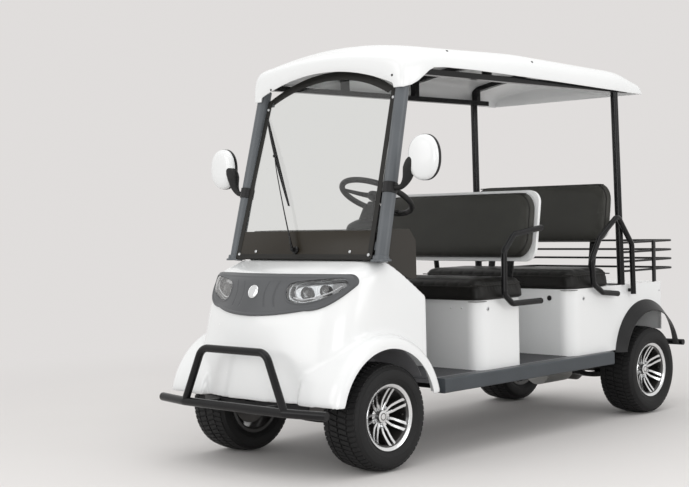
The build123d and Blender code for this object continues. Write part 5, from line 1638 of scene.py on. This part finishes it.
# %% A row made with Geometry Nodes
def row_tree():
    group, asked, node = new_tree("row_along_line", {"Start": "NodeSocketVector", "Step": "NodeSocketVector"},
                                  {"line": "GeometryNodeMeshLine"})
    link_all(group, node, (
        (("given", "Copies"), ("line", "Count")), (("given", "Start"), ("line", "Start Location")),
        (("given", "Step"), ("line", "Offset")), (("line", "Mesh"), ("copies", "Points")),
        (("copies", 0), ("real", 0)),
    ))
    return group, asked


ROW, ROW_INPUTS = row_tree()


def row_of(name, piece, finish, count, start, step):
    """Copies of a piece in a straight row."""
    return repeated(name, ROW, ROW_INPUTS, piece, finish, Copies=count, Start=tuple(start), Step=tuple(step))


print("row tree", len(ROW.nodes), "nodes")

# %% Mats and their ribs
FLOOR_TOP = 357
mat_rubber = grained("mat_rubber", (0.060, 0.062, 0.066), 0.60, 600.0, 0.25, 0.02)
for name, y0, y1 in (("front", 300, 654), ("rear", 996, 1374)):
    sheet = rounded(block("mat_" + name, (-452, y0, FLOOR_TOP + 0.2), (452, y1, FLOOR_TOP + 3)), 1.0, 2)
    dress(sheet, mat_rubber, "root")
    rib = rounded(block("rib", (-3.2, y0 + 14, FLOOR_TOP + 2.6), (3.2, y1 - 14, FLOOR_TOP + 5.4)), 1.4, 2)
    rib.data.transform(Matrix.Translation(-at(0, 0, 0)))
    ribs = row_of("mat_ribs_" + name, paint(rib, mat_rubber), mat_rubber, 49, at(-432, 0, 0), (mm(18), 0, 0))
    dress(crease(ribs, 40), mat_rubber, "root")
print("mats laid")

# %% [markdown]
# ## Trim on the boxes and the rack
# A rubber bead runs along the joint between each box and its cushion board, and a flat bar stands at each
# side of the rack. The beads are tubes round a rectangle with round corners; the bars are softened blocks.

# %% Beads and bars
beads = []
for name, y0, y1, half, z in (("front", 664, 983, 466, 672), ("rear", 1384, 2250, 476, 684)):
    outline = [at(x, (y0 + y1) / 2 + y, z) for x, y in rounded_rect(half + 2.2, (y1 - y0) / 2 + 2.2, 40, 8)]
    beads.append(tube("bead", outline, 1.6, 8, True))
dress(joined("box_beads", beads), seal_rubber, "root")
BAR_X, BAR_HALF = 476, 3
bars = []
for x in (BAR_X, -BAR_X):
    bar = block("bar", (x - BAR_HALF, WHEELBASE + 96, 692), (x + BAR_HALF, WHEELBASE + 124, 914))
    bars.append(rounded(bar, 1.2, 2))
dress(joined("rack_bars", bars), black_coat, "root")
print("trim placed")

# %% [markdown]
# ## Dashboard fittings
# The driver has a hooded instrument pod with one round dial, a key switch and a row of rocker switches. Two
# framed trays and a grab rail fill the passenger's side. Hardly any of it shows in the picture, so its forms
# are the usual ones and stay simple.

# %% Instrument pod
DASH_TOP, DASH_FACE = 1018, 285
POD_X = 230
DIAL = at(POD_X, 190, DASH_TOP + 23)
hood = []
for y, wide, tall in ((112, 40, 8), (120, 66, 24), (140, 84, 40), (165, 92, 48), (190, 94, 50)):
    arch = [math.pi * k / 24 for k in range(25)]
    hood.append([at(POD_X + wide * math.cos(a), y, DASH_TOP - 1 + tall * math.sin(a) ** 0.8) for a in arch]
                + [at(POD_X - wide, y, DASH_TOP - 3), at(POD_X + wide, y, DASH_TOP - 3)])
hood = crease(prism("hood", hood), 50)
dress(rounded(hood, 1.5, 2, 50), trim_plastic, "root")
dial = [(-3, 20), (1.5, 20), (3.2, 18.5), (2.0, 17), (0.8, 16.5), (0.8, 0.3)]
dress(crease(turned("dial", dial, DIAL, (0, 1, 0), 48), 30), chrome, "root")
face = turned("dial_glass", [(0.9, 16.3), (1.4, 12), (1.6, 0.3)], DIAL, (0, 1, 0), 40)
dress(face, brown_panel, "root")
print("instrument pod placed")

# %% Trays, switches and grab rail
RAIL_PLACES = ((-405, 284, 985), (-402, 302, 988), (-380, 306, 990), (-220, 306, 992), (-60, 306, 990),
               (-38, 302, 988), (-35, 284, 985))
KEY = [(0, 13), (4, 13), (6, 11), (6, 8), (9, 8), (10, 6.5), (10, 0.3)]
pieces = []
for x in (-330, -140):
    rim = [at(x + dx, DASH_FACE + 0.5, 918 + dz) for dx, dz in rounded_rect(80, 42, 18, 6)]
    pieces.append(tube("tray_rim", rim, 4, 10, True))
    pieces.append(rounded(block("lid", (x - 77, DASH_FACE - 1, 879), (x + 77, DASH_FACE + 2.2, 957)), 1.5, 2))
for k in range(4):
    rocker = block("rocker", (20 + 26 * k, DASH_FACE - 1, 946), (40 + 26 * k, DASH_FACE + 4.5, 976))
    pieces.append(rounded(rocker, 2, 3))
key = crease(turned("key", KEY, at(352, DASH_FACE - 0.5, 960), (0, 1, 0), 32), 30)
rail = tube("grab_rail", soften([at(*place) for place in RAIL_PLACES], 6), 7, 12)
dress(joined("dash_fittings", pieces + [key, rail]), trim_plastic, "root")
print("dashboard fittings placed")

# %% [markdown]
# ## The studio
# A pale floor and a pale room, a wide soft lamp overhead and three soft lamps round the front. The lamps are
# kept low enough that white stays below pure white, so the mouldings keep their shading. The floor keeps the
# shadow near the vehicle and fades to the backdrop's colour further out, so no horizon shows.

# %% Floor and backdrop
BACKGROUND = (0.745, 0.725, 0.715)
FADE_FROM, FADE_TO = 1.7, 5.0
corners = [(-30, -30, 0), (30, -30, 0), (30, 30, 0), (-30, 30, 0)]
floor = new_piece("studio_floor", corners, [(0, 1, 2, 3)])
floor_paint = Finish("studio_floor_paint", Roughness=0.75, Specular_IOR_Level=0.2)
floor_cloud = floor_paint.noise(0.8, 2.0)
floor_paint.feed("Base Color", floor_paint.mix(floor_cloud, (0.66, 0.645, 0.635), (0.70, 0.685, 0.675)))
length = {"operation": "LENGTH"}
radius = floor_paint.node("ShaderNodeVectorMath", length, out="Value", Vector=floor_paint.here)
away = floor_paint.node("ShaderNodeMapRange", {"interpolation_type": "SMOOTHSTEP"}, Value=radius,
                        i1=FADE_FROM, i2=FADE_TO, i3=0.0, i4=1.0)
backdrop = floor_paint.node("ShaderNodeEmission", Color=(*BACKGROUND, 1), Strength=1.0)
blend = floor_paint.tree.nodes.new("ShaderNodeMixShader")
floor_paint.tree.links.new(away.socket, blend.inputs[0])
floor_paint.tree.links.new(floor_paint.shader.outputs[0], blend.inputs[1])
floor_paint.tree.links.new(backdrop.socket, blend.inputs[2])
floor_paint.tree.links.new(blend.outputs[0], floor_paint.tree.nodes["Material Output"].inputs["Surface"])
paint(floor, floor_paint)
print("floor fades to the backdrop from", FADE_FROM, "m to", FADE_TO, "m")

# %% [markdown]
# The room lights the vehicle evenly from all round. What the camera sees of it, also through the glass, is
# the backdrop's colour and not the room's light.

# %% World
world = bpy.data.worlds.new("studio")
bpy.context.scene.world = world
world.use_nodes = True
tree = world.node_tree
sky = tree.nodes["Background"]
seen = tree.nodes.new("ShaderNodeBackground")
seen.inputs["Color"].default_value = (*BACKGROUND, 1)
sky.inputs["Color"].default_value = (1.0, 0.99, 0.98, 1)
sky.inputs["Strength"].default_value = 0.85
rays = tree.nodes.new("ShaderNodeLightPath")
direct = tree.nodes.new("ShaderNodeMath")
direct.operation, direct.use_clamp = "ADD", True
tree.links.new(rays.outputs["Is Camera Ray"], direct.inputs[0])
tree.links.new(rays.outputs["Is Transmission Ray"], direct.inputs[1])
choice = tree.nodes.new("ShaderNodeMixShader")
tree.links.new(direct.outputs[0], choice.inputs[0])
tree.links.new(sky.outputs[0], choice.inputs[1])
tree.links.new(seen.outputs[0], choice.inputs[2])
tree.links.new(choice.outputs[0], tree.nodes["World Output"].inputs["Surface"])
print("world strength", round(sky.inputs["Strength"].default_value, 2))


# %% Lamps
def soft_lamp(name, place, aim, size, power):
    light = bpy.data.lights.new(name, "AREA")
    light.shape, light.size, light.size_y, light.energy = "RECTANGLE", size[0], size[1], power
    lamp = bpy.data.objects.new(name, light)
    lamp.location = place
    lamp.rotation_mode = "QUATERNION"
    lamp.rotation_quaternion = (Vector(aim) - Vector(place)).to_track_quat("-Z", "Y")
    bpy.context.scene.collection.objects.link(lamp)


soft_lamp("lamp_over", (0.5, -0.6, 5.0), (0, 0, 0.4), (4.5, 4.5), 82)
soft_lamp("lamp_front", (-1.5, -5.5, 2.6), (0, 0, 0.8), (3.4, 2.6), 42)
soft_lamp("lamp_fill", (4.4, -4.8, 1.5), (0.2, 0.1, 0.6), (2.6, 2.0), 54)
soft_lamp("lamp_side", (5.5, 0.5, 2.4), (0, 0, 0.8), (3.2, 2.2), 46)
print("lamps", len(bpy.data.lights))

# %% [markdown]
# ## The camera
# The camera's place and turn were solved from the wheels and the body's straight lines, so that the model
# lies over the picture. It looks slightly down, from in front of the vehicle's left side.

# %% Camera
camera = bpy.data.objects.new("camera", bpy.data.cameras.new("camera"))
camera.data.lens, camera.data.sensor_width = 69.49, 36.0
camera.matrix_world = Matrix.Translation(EYE) @ Matrix((RIGHT, ABOVE, -AHEAD)).transposed().to_4x4()
bpy.context.scene.collection.objects.link(camera)
bpy.context.scene.camera = camera
bpy.context.scene.view_settings.view_transform = "Standard"

# %% Remove the measuring form
# The whole bonnet was only there to be measured
bpy.data.objects.remove(bonnet_form)
